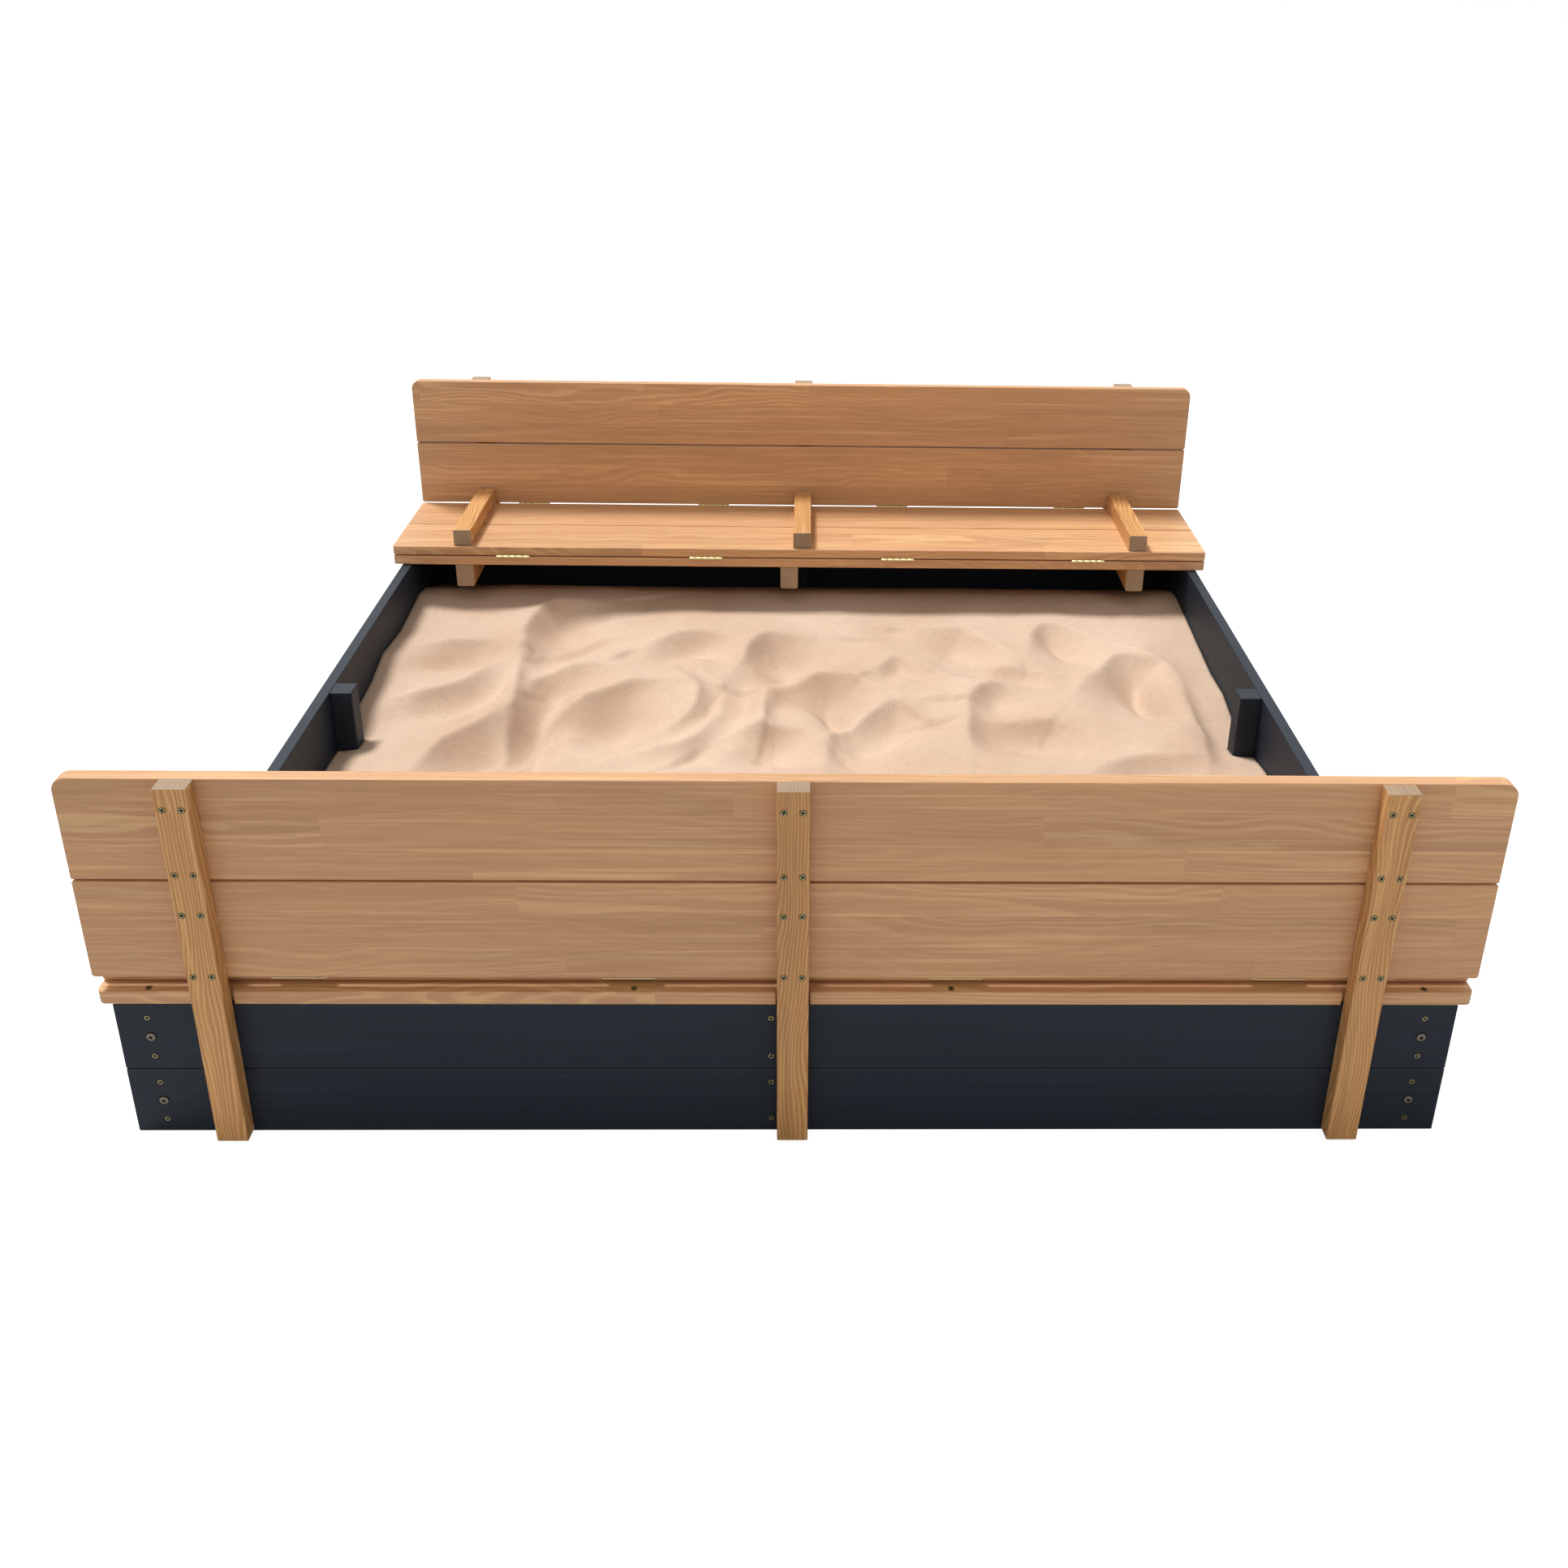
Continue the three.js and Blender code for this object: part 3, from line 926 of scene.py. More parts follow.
@dataclass
class Lumber:
    """Turns boards into pieces and hands each its own number."""

    next_number: int = 1

    def lay(
        self, board: Board, material: bpy.types.Material, body: str
    ) -> bpy.types.Object:
        """Makes one board a piece of the object.

        Args:
            board: The board.
            material: Its finish.
            body: The body that it rides on.

        Returns:
            The piece.
        """
        mesh = board.mesh((self.next_number * GOLDEN_SHARE) % 1.0)
        self.next_number += 1
        piece = object_from(board.node + "_timber", mesh, material)
        return settle(piece, body, [board.node])


# ---------------------------------------------------------------- what repeats


@dataclass
class NodeBuild:
    """Runs one Geometry Nodes tree over a start mesh and keeps the result as a plain mesh."""

    tree: bpy.types.NodeTree
    values: dict[str, Any]

    def plain_mesh(self, start: bpy.types.Mesh, name: str) -> bpy.types.Mesh:
        """Evaluates the tree.

        Args:
            start: The mesh that the tree gets.
            name: The result's name.

        Returns:
            The realised mesh.
        """
        holder = bpy.data.objects.new(name + "_holder", start)
        bpy.context.scene.collection.objects.link(holder)
        modifier = holder.modifiers.new("repeat", "NODES")
        modifier.node_group = self.tree
        for item in self.tree.interface.items_tree:
            if item.in_out == "INPUT" and item.name in self.values:
                modifier[item.identifier] = self.values[item.name]
        holder.update_tag()
        shown = bpy.context.evaluated_depsgraph_get()
        made = bpy.data.meshes.new_from_object(
            holder.evaluated_get(shown), preserve_all_data_layers=True, depsgraph=shown
        )
        made.name = name
        holder.modifiers.remove(modifier)
        bpy.data.objects.remove(holder)
        return made


def new_tree(name: str, inputs: Sequence[tuple[str, str]]) -> tuple[bpy.types.NodeTree, Any, Any]:
    """Starts a Geometry Nodes tree with named inputs.

    Args:
        name: The tree's name.
        inputs: Pairs of input name and socket type, after the geometry.

    Returns:
        The tree, its group input node and its group output node.
    """
    tree = bpy.data.node_groups.new(name, "GeometryNodeTree")
    tree.interface.new_socket("Geometry", in_out="INPUT", socket_type="NodeSocketGeometry")
    for label, kind in inputs:
        tree.interface.new_socket(label, in_out="INPUT", socket_type=kind)
    tree.interface.new_socket("Geometry", in_out="OUTPUT", socket_type="NodeSocketGeometry")
    return tree, add(tree, "NodeGroupInput"), add(tree, "NodeGroupOutput")


def screw_tree() -> bpy.types.NodeTree:
    """Builds the tree that drives a screw into each point, turned by chance about its axis.

    Returns:
        The tree. Its points need a "facing" attribute.
    """
    tree, given, out = new_tree(
        "driven_screws",
        [
            ("Head", "NodeSocketObject"),
            ("Turn Seed", "NodeSocketInt"),
            ("Finish", "NodeSocketMaterial"),
        ],
    )
    head = add(
        tree,
        "GeometryNodeObjectInfo",
        {"transform_space": "ORIGINAL"},
        {"Object": given.outputs["Head"]},
    )
    facing = add(
        tree, "GeometryNodeInputNamedAttribute", {"data_type": "FLOAT_VECTOR"}, {"Name": "facing"}
    )
    aimed = add(
        tree, "FunctionNodeAlignRotationToVector", {"axis": "Z"}, {"Vector": facing.outputs[0]}
    )
    turn = add(
        tree,
        "FunctionNodeRandomValue",
        {"data_type": "FLOAT"},
        {"Max": FULL_TURN, "Seed": given.outputs["Turn Seed"]},
    )
    spin = add(tree, "ShaderNodeCombineXYZ", inputs={2: turn.outputs[1]})
    spun = add(tree, "FunctionNodeEulerToRotation", inputs={0: spin.outputs[0]})
    rotation = add(
        tree,
        "FunctionNodeRotateRotation",
        {"rotation_space": "LOCAL"},
        {0: aimed.outputs[0], 1: spun.outputs[0]},
    )
    placed = add(
        tree,
        "GeometryNodeInstanceOnPoints",
        inputs={
            "Points": given.outputs["Geometry"],
            "Instance": head.outputs["Geometry"],
            "Rotation": rotation.outputs[0],
        },
    )
    real = add(tree, "GeometryNodeRealizeInstances", inputs={0: placed.outputs[0]})
    dressed = add(
        tree,
        "GeometryNodeSetMaterial",
        inputs={"Geometry": real.outputs[0], "Material": given.outputs["Finish"]},
    )
    tree.links.new(dressed.outputs[0], out.inputs[0])
    return tree


def hinge_tree() -> bpy.types.NodeTree:
    """Builds the tree that repeats one part of a hinge along X.

    Returns:
        The tree.
    """
    tree, given, out = new_tree(
        "hinges_in_a_row",
        [
            ("Count", "NodeSocketInt"),
            ("Spacing", "NodeSocketFloat"),
            ("Finish", "NodeSocketMaterial"),
        ],
    )
    steps = reckon(tree, "SUBTRACT", given.outputs["Count"], 1.0)
    reach = reckon(tree, "MULTIPLY", steps, given.outputs["Spacing"])
    first = add(
        tree, "ShaderNodeCombineXYZ", inputs={0: reckon(tree, "MULTIPLY", reach, -0.5)}
    )
    step = add(tree, "ShaderNodeCombineXYZ", inputs={0: given.outputs["Spacing"]})
    line = add(
        tree,
        "GeometryNodeMeshLine",
        {"mode": "OFFSET"},
        {
            "Count": given.outputs["Count"],
            "Start Location": first.outputs[0],
            "Offset": step.outputs[0],
        },
    )
    placed = add(
        tree,
        "GeometryNodeInstanceOnPoints",
        inputs={"Points": line.outputs[0], "Instance": given.outputs["Geometry"]},
    )
    real = add(tree, "GeometryNodeRealizeInstances", inputs={0: placed.outputs[0]})
    dressed = add(
        tree,
        "GeometryNodeSetMaterial",
        inputs={"Geometry": real.outputs[0], "Material": given.outputs["Finish"]},
    )
    tree.links.new(dressed.outputs[0], out.inputs[0])
    return tree


@dataclass(frozen=True)
class ScrewHead:
    """A countersunk head with a crossed recess, seen from above."""

    radius: float
    proud: float
    recess: float
    recess_depth: float
    dome: float = 0.0

    def template(self, name: str) -> bpy.types.Object:
        """Builds one head at the origin, looking up Z.

        Args:
            name: The template's name.

        Returns:
            The template, to be removed once the screws are made.
        """
        form = bmesh.new()
        arm, half = self.recess, self.recess * 0.30
        quarter = ((arm, -half), (arm, half), (half, half))
        outline = []
        for _ in range(4):
            outline += quarter
            quarter = tuple((-y, x) for x, y in quarter)
        rim_height = self.proud - self.dome
        turns = [math.atan2(y, x) for x, y in outline]
        foot, rim, shoulder = (
            [form.verts.new((r * math.cos(t), r * math.sin(t), height)) for t in turns]
            for r, height in (
                (self.radius, -0.6 * MM),
                (self.radius, rim_height - 0.15 * MM),
                (0.80 * self.radius, rim_height),
            )
        )
        lip, floor = (
            [form.verts.new((share * x, share * y, height)) for x, y in outline]
            for share, height in ((1.0, self.proud), (0.8, self.proud - self.recess_depth))
        )
        # faces marked here are painted near black by the metal: painted shade in the cross, a
        # painted shadow round the rim
        painted_shade_layer = form.faces.layers.float.new("recess")
        for lower, upper, shade_share in (
            (foot, rim, 1.0), (rim, shoulder, 0.92), (shoulder, lip, 0.0), (lip, floor, 1.0),
        ):
            for i in range(len(turns)):
                j = (i + 1) % len(turns)
                face = form.faces.new((lower[i], lower[j], upper[j], upper[i]))
                face[painted_shade_layer] = shade_share
        bottom = form.faces.new(floor)
        bottom[painted_shade_layer] = 1.0
        form.faces.new(list(reversed(foot)))
        bmesh.ops.recalc_face_normals(form, faces=form.faces)
        made = bpy.data.meshes.new(name)
        form.to_mesh(made)
        form.free()
        template = bpy.data.objects.new(name, made)
        bpy.context.scene.collection.objects.link(template)
        return template


SMALL_HEAD = ScrewHead(radius=3.8 * MM, proud=0.35 * MM, recess=2.5 * MM, recess_depth=0.3 * MM)
LARGE_HEAD = ScrewHead(
    radius=6.4 * MM, proud=1.1 * MM, recess=2.6 * MM, recess_depth=1.0 * MM, dome=0.5 * MM
)
LEAF_HEAD = ScrewHead(radius=3.3 * MM, proud=0.12 * MM, recess=2.1 * MM, recess_depth=0.07 * MM)


@dataclass(frozen=True)
class ScrewPlace:
    """Where a screw goes in, and the way that its head looks."""

    at: Vector
    facing: Vector


@dataclass
class Screws:
    """Drives sets of screws, one piece for each body and kind of head."""

    tree: bpy.types.NodeTree = field(default_factory=screw_tree)

    def drive(
        self,
        name: str,
        places: Sequence[ScrewPlace],
        head: ScrewHead,
        material: bpy.types.Material,
        body: str,
        seed: int,
    ) -> bpy.types.Object:
        """Makes one piece from a set of screws.

        Args:
            name: The piece's name.
            places: Where they go.
            head: Their kind of head.
            material: Their finish.
            body: The body that they ride on.
            seed: The seed for their chance turns.

        Returns:
            The piece.
        """
        start = bpy.data.meshes.new(name + "_points")
        start.from_pydata([p.at for p in places], [], [])
        facing = start.attributes.new("facing", "FLOAT_VECTOR", "POINT")
        facing.data.foreach_set("vector", [c for p in places for c in p.facing])
        template = head.template(name + "_template")
        values = {"Head": template, "Turn Seed": seed, "Finish": material}
        made = NodeBuild(self.tree, values).plain_mesh(start, name)
        bpy.data.objects.remove(template)
        return settle(object_from(name, made, material), body)


@dataclass
class HingeRow:
    """The hinges of one folding line: two leaves with their knuckles, and the pins."""

    side: Side
    line: str
    first_leaf: str
    second_leaf: str
    first_body: str
    second_body: str
    count: int = 4
    spacing: float = 361.0 * MM
    knuckles: int = 5
    knuckle_gap: float = 0.25 * MM
    knuckle_radius: float = 2.6 * MM
    pin_radius: float = 1.1 * MM
    leaf_thickness: float = 0.8 * MM
    corner: float = 3.0 * MM
    sides: int = 20

    def build(self, material: bpy.types.Material, tree: bpy.types.NodeTree) -> None:
        """Makes the three pieces of the row.

        Args:
            material: Their finish.
            tree: The tree that repeats a part along the line.
        """
        prefix = f"{self.side.word}_{self.line}"
        pin_low, pin_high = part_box(f"{prefix}_pin")
        axis = (pin_low + pin_high) / 2.0
        length = pin_high.x - pin_low.x
        rows = (
            (self.first_leaf, self.first_body, 0),
            (self.second_leaf, self.second_body, 1),
        )
        for leaf, body, turn in rows:
            node = f"{prefix}_{leaf}"
            form = bmesh.new()
            self.add_knuckles(form, axis, length, turn)
            self.add_plate(form, node, axis, length)
            self.finish_row(form, f"{prefix}_{leaf}_row", node, body, material, tree)
        form = bmesh.new()
        self.add_rod(form, axis, self.pin_radius, -length / 2.0, length / 2.0)
        # The pins ride with the body that holds the outer knuckles.
        self.finish_row(
            form, f"{prefix}_pin_row", f"{prefix}_pin", self.first_body, material, tree
        )

    def finish_row(
        self,
        form: bmesh.types.BMesh,
        name: str,
        node: str,
        body: str,
        material: bpy.types.Material,
        tree: bpy.types.NodeTree,
    ) -> None:
        """Repeats one part along the line and makes it a piece.

        Args:
            form: The part, at the middle of the line.
            name: The piece's name.
            node: The model's node that it stands for.
            body: The body that it rides on.
            material: Its finish.
            tree: The tree that repeats it.
        """
        bmesh.ops.recalc_face_normals(form, faces=form.faces)
        start = bpy.data.meshes.new(name + "_part")
        form.to_mesh(start)
        form.free()
        values = {"Count": self.count, "Spacing": self.spacing, "Finish": material}
        made = NodeBuild(tree, values).plain_mesh(start, name)
        settle(object_from(name, made, material), body, [node])

    def add_knuckles(
        self, form: bmesh.types.BMesh, axis: Vector, length: float, turn: int
    ) -> None:
        """Adds every second knuckle.

        Args:
            form: The leaf being made.
            axis: A point on the pin's axis, whose Y and Z are used.
            length: The hinge's length.
            turn: 0 for the outer set, 1 for the set between.
        """
        pitch = length / self.knuckles
        for index in range(turn, self.knuckles, 2):
            start = -length / 2.0 + index * pitch + self.knuckle_gap / 2.0
            self.add_rod(form, axis, self.knuckle_radius, start, start + pitch - self.knuckle_gap)

    def add_rod(
        self, form: bmesh.types.BMesh, axis: Vector, radius: float, start: float, end: float
    ) -> None:
        """Adds a closed round bar along X with softened ends.

        Args:
            form: The mesh being made.
            axis: A point on the bar's axis.
            radius: The bar's radius.
            start: Where it starts along X.
            end: Where it ends.
        """
        ease = min(0.25 * MM, radius * 0.3)
        stations = (
            (start, radius - ease),
            (start + ease, radius),
            (end - ease, radius),
            (end, radius - ease),
        )
        rings = []
        for x, r in stations:
            rings.append(
                [
                    form.verts.new(
                        (
                            x,
                            axis.y + r * math.cos(FULL_TURN * i / self.sides),
                            axis.z + r * math.sin(FULL_TURN * i / self.sides),
                        )
                    )
                    for i in range(self.sides)
                ]
            )
        for lower, upper in zip(rings, rings[1:]):
            for i in range(self.sides):
                j = (i + 1) % self.sides
                form.faces.new((lower[i], lower[j], upper[j], upper[i])).smooth = True
        form.faces.new(rings[0])
        form.faces.new(rings[-1])

    def add_plate(
        self, form: bmesh.types.BMesh, node: str, axis: Vector, length: float
    ) -> None:
        """Adds the flat of a leaf, from the pin out to the leaf's free edge.

        Args:
            form: The leaf being made.
            node: The model's node, whose box gives the free edge.
            axis: A point on the pin's axis.
            length: The hinge's length.
        """
        low, high = self.plate_box(node, axis)
        is_flat = high.z - low.z < high.y - low.y
        cube = bmesh.ops.create_cube(
            form,
            size=1.0,
            matrix=Matrix.Translation(Vector((0.0, (low.y + high.y) / 2.0, (low.z + high.z) / 2.0)))
            @ Matrix.Diagonal((length, high.y - low.y, high.z - low.z, 1.0)),
        )
        across = 1 if is_flat else 2
        through = 2 if is_flat else 1
        free = max(
            (v.co[across] for v in cube["verts"]), key=lambda value: abs(value - axis[across])
        )
        corners = [
            e
            for e in {edge for v in cube["verts"] for edge in v.link_edges}
            if abs(e.verts[0].co[through] - e.verts[1].co[through]) > 0.5 * self.leaf_thickness
            and abs(e.verts[0].co[across] - free) < TOUCH
        ]
        bmesh.ops.bevel(
            form, geom=corners, offset=self.corner, segments=5, profile=0.5, affect="EDGES"
        )

    def plate_box(self, node: str, axis: Vector) -> tuple[Vector, Vector]:
        """Works out where a leaf's plate lies, beside the seat, the base or the back.

        Args:
            node: The model's node of the leaf.
            axis: A point on the pin's axis.

        Returns:
            The plate's lowest and highest corner. X isn't used.
        """
        low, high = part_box(node)
        sign = self.side.value
        half_slit = 0.15 * MM
        if self.line == "fold_hinge":
            inner = axis.y
            outer = high.y if sign > 0 else low.y
            near, far = sorted((inner, outer))
            if "base_leaf" in node:
                return Vector((0, near, axis.z - half_slit - self.leaf_thickness)), Vector(
                    (0, far, axis.z - half_slit)
                )
            return Vector((0, near, axis.z + half_slit)), Vector(
                (0, far, axis.z + half_slit + self.leaf_thickness)
            )
        if "seat_leaf" in node:
            inner = low.y if sign > 0 else high.y
            near, far = sorted((inner, inner + sign * self.leaf_thickness))
            return Vector((0, near, low.z)), Vector((0, far, axis.z))
        outer = high.y if sign > 0 else low.y
        near, far = sorted((axis.y, outer))
        return Vector((0, near, high.z - self.leaf_thickness)), Vector((0, far, high.z))


# ---------------------------------------------------------------- the box


@dataclass
class BoxWalls:
    """The low square box: two boards on each side, with posts in and between the corners."""

    arris: float = 1.5 * MM
    column_spread: float = 26.5 * MM
    walls: tuple[str, ...] = ("front", "rear", "left", "right")
    tiers: tuple[str, ...] = ("lower", "upper")
    posts: tuple[str, ...] = (
        "corner_front_left",
        "corner_front_right",
        "corner_rear_left",
        "corner_rear_right",
        "middle_front",
        "middle_rear",
        "middle_left",
        "middle_right",
    )

    def build(self, lumber: Lumber, screws: Screws, rack: FinishRack) -> None:
        """Makes the boards, the posts and their screws.

        Args:
            lumber: What turns boards into pieces.
            screws: What drives screws.
            rack: The finishes.
        """
        for wall in self.walls:
            runs_along_x = wall in ("front", "rear")
            grain = Axis.X if runs_along_x else Axis.Y
            through = Axis.Y if runs_along_x else Axis.X
            for tier in self.tiers:
                board = Board(f"wall_{wall}_{tier}", grain, through, self.arris)
                lumber.lay(board, rack.box, "box")
        for post in self.posts:
            board = Board(f"post_{post}", Axis.Z, Axis.Y, self.arris)
            lumber.lay(board, rack.box, "box")
        small, large = self.screw_places()
        screws.drive("box_wall_screws", small, SMALL_HEAD, rack.screw, "box", 11)
        screws.drive("box_wall_large_screws", large, LARGE_HEAD, rack.steel, "box", 12)

    def screw_places(self) -> tuple[list[ScrewPlace], list[ScrewPlace]]:
        """Finds where the walls are screwed to their posts.

        Returns:
            The places of the small screws, and of the large ones.
        """
        small: list[ScrewPlace] = []
        large: list[ScrewPlace] = []
        for wall in self.walls:
            axis = Axis.Y if wall in ("front", "rear") else Axis.X
            run = Axis.X if axis is Axis.Y else Axis.Y
            sign = 1 if wall in ("rear", "right") else -1
            facing = Vector((0.0, 0.0, 0.0))
            facing[axis.value] = sign
            for tier in self.tiers:
                low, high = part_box(f"wall_{wall}_{tier}")
                face = high[axis.value] if sign > 0 else low[axis.value]
                middle_z = (low.z + high.z) / 2.0
                columns = self.columns(wall, run)
                for place, is_corner in columns:
                    for lift in (-self.column_spread, self.column_spread):
                        at = Vector((0.0, 0.0, middle_z + lift))
                        at[axis.value], at[run.value] = face, place
                        small.append(ScrewPlace(at, facing))
                    if is_corner:
                        at = Vector((0.0, 0.0, middle_z))
                        at[axis.value], at[run.value] = face, place
                        large.append(ScrewPlace(at, facing))
        return small, large

    @staticmethod
    def columns(wall: str, run: Axis) -> list[tuple[float, bool]]:
        """Finds the posts behind a wall.

        Args:
            wall: The wall's name.
            run: The axis that the wall runs along.

        Returns:
            For each post, its middle along the wall, and whether it stands in a corner.
        """
        if run is Axis.X:
            names = (f"corner_{wall}_left", f"corner_{wall}_right", f"middle_{wall}")
        else:
            names = (f"corner_front_{wall}", f"corner_rear_{wall}", f"middle_{wall}")
        found = []
        for name in names:
            low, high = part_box(f"post_{name}")
            found.append(((low[run.value] + high[run.value]) / 2.0, name.startswith("corner")))
        return found


# ---------------------------------------------------------------- the benches


@dataclass
class Bench:
    """One half of the cover, folded out: base on the box, seat on it, back behind."""

    side: Side
    lid_arris: float = 1.4 * MM
    small_corner: float = 4.0 * MM
    ledge_corner: float = 8.0 * MM
    back_corner: float = 16.0 * MM
    stick_arris: float = 1.3 * MM
    cleat_corner: float = 4.0 * MM
    batten_shy: float = 0.35 * MM
    ledge_inset: float = 7.0 * MM
    ledge_columns: tuple[float, float] = (710.0 * MM, 176.5 * MM)
    batten_columns: float = 9.8 * MM
    batten_edge: float = 25.0 * MM
    notch_side_gap: float = 1.2 * MM
    notch_depth: float = 6.0 * MM
    leaf_screw_reach: float = 14.0 * MM
    leaf_screw_spread: float = 21.0 * MM
    leaf_slit: float = 0.15 * MM

    @property
    def word(self) -> str:
        """The word that the model's names use for this side."""
        return self.side.word

    def build(
        self, lumber: Lumber, screws: Screws, rack: FinishRack, hinges: bpy.types.NodeTree
    ) -> None:
        """Makes the bench's boards, sticks, hinges and screws.

        Args:
            lumber: What turns boards into pieces.
            screws: What drives screws.
            rack: The finishes.
            hinges: The tree that repeats hinge parts.
        """
        outward = self.side.value
        seat, back = f"{self.word}_seat", f"{self.word}_back"
        flat = (("inner", -outward), ("outer", outward))
        upright = (("lower", -1), ("upper", 1))
        small, ledge, tall = self.small_corner, self.ledge_corner, self.back_corner
        self.lay_pair(lumber, rack, "base_board", flat, Axis.Z, "box", (small, ledge))
        self.lay_pair(lumber, rack, "seat_board", flat, Axis.Z, seat, (small, small))
        self.lay_pair(lumber, rack, "back_board", upright, Axis.Y, back, (small, tall))
        for place in ("left", "middle", "right"):
            self.lay_sticks(lumber, rack, place)
        seat_body, back_body = f"{self.word}_seat", f"{self.word}_back"
        for line, first_leaf, second_leaf, first_body, second_body in (
            ("fold_hinge", "base_leaf", "seat_leaf", "box", seat_body),
            ("back_hinge", "seat_leaf", "back_leaf", seat_body, back_body),
        ):
            row = HingeRow(self.side, line, first_leaf, second_leaf, first_body, second_body)
            row.build(rack.zinc, hinges)
        for leaf, body, lift, seed in (("base", "box", -1, 41), ("seat", seat, 1, 51)):
            name = f"{self.word}_fold_{leaf}_leaf_screws"
            places = self.leaf_places(lift)
            screws.drive(name, places, LEAF_HEAD, rack.screw, body, seed + outward)
        screws.drive(
            f"{self.word}_ledge_screws",
            self.ledge_places(),
            SMALL_HEAD,
            rack.screw,
            "box",
            21 + outward,
        )
        screws.drive(
            f"{self.word}_batten_screws",
            self.batten_places(),
            SMALL_HEAD,
            rack.screw,
            f"{self.word}_back",
            31 + outward,
        )

    def lay_pair(
        self,
        lumber: Lumber,
        rack: FinishRack,
        kind: str,
        boards: tuple[tuple[str, int], tuple[str, int]],
        through: Axis,
        body: str,
        radii: tuple[float, float],
    ) -> None:
        """Lays the two boards of a lid, with its four outer corners rounded.

        Args:
            lumber: What turns boards into pieces.
            rack: The finishes.
            kind: The lid's part of the name.
            boards: Each board's own word, and the side that its free edge is on.
            through: The axis through the lid.
            body: The body that it rides on.
            radii: The corner radius of each board.
        """
        for (name, sign), radius in zip(boards, radii):
            corners = []
            for end in (-1, 1):
                corners.append((end, sign, 0) if through is Axis.Z else (end, 0, sign))
            is_notched = (kind, name) == ("base_board", "outer")
            board = Board(
                f"{self.word}_{kind}_{name}",
                Axis.X,
                through,
                self.lid_arris,
                radius,
                tuple(corners),
                notches=self.notches() if is_notched else (),
                notch_depth=self.notch_depth,
            )
            lumber.lay(board, rack.lid, body)

    def notches(self) -> tuple[tuple[float, float], ...]:
        """Finds where the base is notched to let the battens swing past.

        Returns:
            Where each notch starts and ends along X.
        """
        found = []
        for place in ("left", "middle", "right"):
            low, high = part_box(f"{self.word}_back_batten_{place}")
            found.append((low.x - self.notch_side_gap, high.x + self.notch_side_gap))
        return tuple(found)

    def lay_sticks(self, lumber: Lumber, rack: FinishRack, place: str) -> None:
        """Lays the cleats and the batten at one place along the bench.

        Args:
            lumber: What turns boards into pieces.
            rack: The finishes.
            place: left, middle or right.
        """
        base_cleat = Board(
            f"{self.word}_base_cleat_{place}",
            Axis.Y,
            Axis.X,
            self.stick_arris,
            self.cleat_corner,
            ((-1, 0, -1), (1, 0, -1)),
        )
        lumber.lay(base_cleat, rack.stick, "box")
        seat_cleat = Board(
            f"{self.word}_seat_cleat_{place}", Axis.Y, Axis.Z, self.stick_arris
        )
        lumber.lay(seat_cleat, rack.stick, f"{self.word}_seat")
        batten = Board(
            f"{self.word}_back_batten_{place}",
            Axis.Z,
            Axis.Y,
            self.stick_arris,
            shy=(0.0, self.batten_shy, 0.0),
            shy_side=self.side.value,
        )
        lumber.lay(batten, rack.stick, f"{self.word}_back")

    def leaf_places(self, lift: int) -> list[ScrewPlace]:
        """Finds the screws through one leaf of every fold hinge.

        Args:
            lift: 1 for the seat's leaf, whose screws look down, -1 for the base's.

        Returns:
            Their places.
        """
        low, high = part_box(f"{self.word}_fold_hinge_pin")
        axis = (low + high) / 2.0
        y = axis.y + self.side.value * self.leaf_screw_reach
        z = axis.z + lift * self.leaf_slit
        places = []
        for index in range(HingeRow.count):
            middle = (index - (HingeRow.count - 1) / 2.0) * HingeRow.spacing
            for x in (-self.leaf_screw_spread, 0.0, self.leaf_screw_spread):
                places.append(ScrewPlace(Vector((middle + x, y, z)), Vector((0.0, 0.0, -lift))))
        return places

    def ledge_places(self) -> list[ScrewPlace]:
        """Finds the screws along the base's outer edge, which go down into the wall.

        Returns:
            Their places.
        """
        low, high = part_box(f"{self.word}_base_board_outer")
        edge = high.y if self.side is Side.REAR else low.y
        y = edge - self.side.value * self.ledge_inset
        outer, inner = self.ledge_columns
        return [
            ScrewPlace(Vector((x, y, high.z)), Vector((0.0, 0.0, 1.0)))
            for x in (-outer, -inner, inner, outer)
        ]

    def batten_places(self) -> list[ScrewPlace]:
        """Finds the screws that hold each batten to the two boards of the back.

        Returns:
            Their places.
        """
        facing = Vector((0.0, float(self.side.value), 0.0))
        places = []
        for place in ("left", "middle", "right"):
            low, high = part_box(f"{self.word}_back_batten_{place}")
            face = (high.y if self.side is Side.REAR else low.y) - self.side.value * self.batten_shy
            middle = (low.x + high.x) / 2.0
            for tier in ("lower", "upper"):
                board_low, board_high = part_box(f"{self.word}_back_board_{tier}")
                rows = self.batten_rows(tier, board_low.z, board_high.z)
                for z in rows:
                    for x in (middle - self.batten_columns, middle + self.batten_columns):
                        places.append(ScrewPlace(Vector((x, face, z)), facing))
        return places

    def batten_rows(self, tier: str, low: float, high: float) -> tuple[float, float]:
        """Gives the two heights of a board's screws.

        Args:
            tier: lower or upper.
            low: The board's lower edge.
            high: The board's upper edge.

        Returns:
            The two heights.
        """
        if tier == "lower":
            return (low + 0.67 * self.batten_edge, high - 1.10 * self.batten_edge)
        return (low + 0.80 * self.batten_edge, high - self.batten_edge)


# ---------------------------------------------------------------- the sand


@dataclass(frozen=True)
class Crest:
    """A crest of heaped sand with a slip face on the right-hand side of its path.

    Sizes are in millimetres. The face falls `drop` below the crest, then the ground comes back
    up over `reach`. Behind the crest the ground is heaped up by `rise`.
    """

    path: tuple[tuple[float, float], ...]
    drop: float
    reach: float = 60.0
    rise: float = 5.0


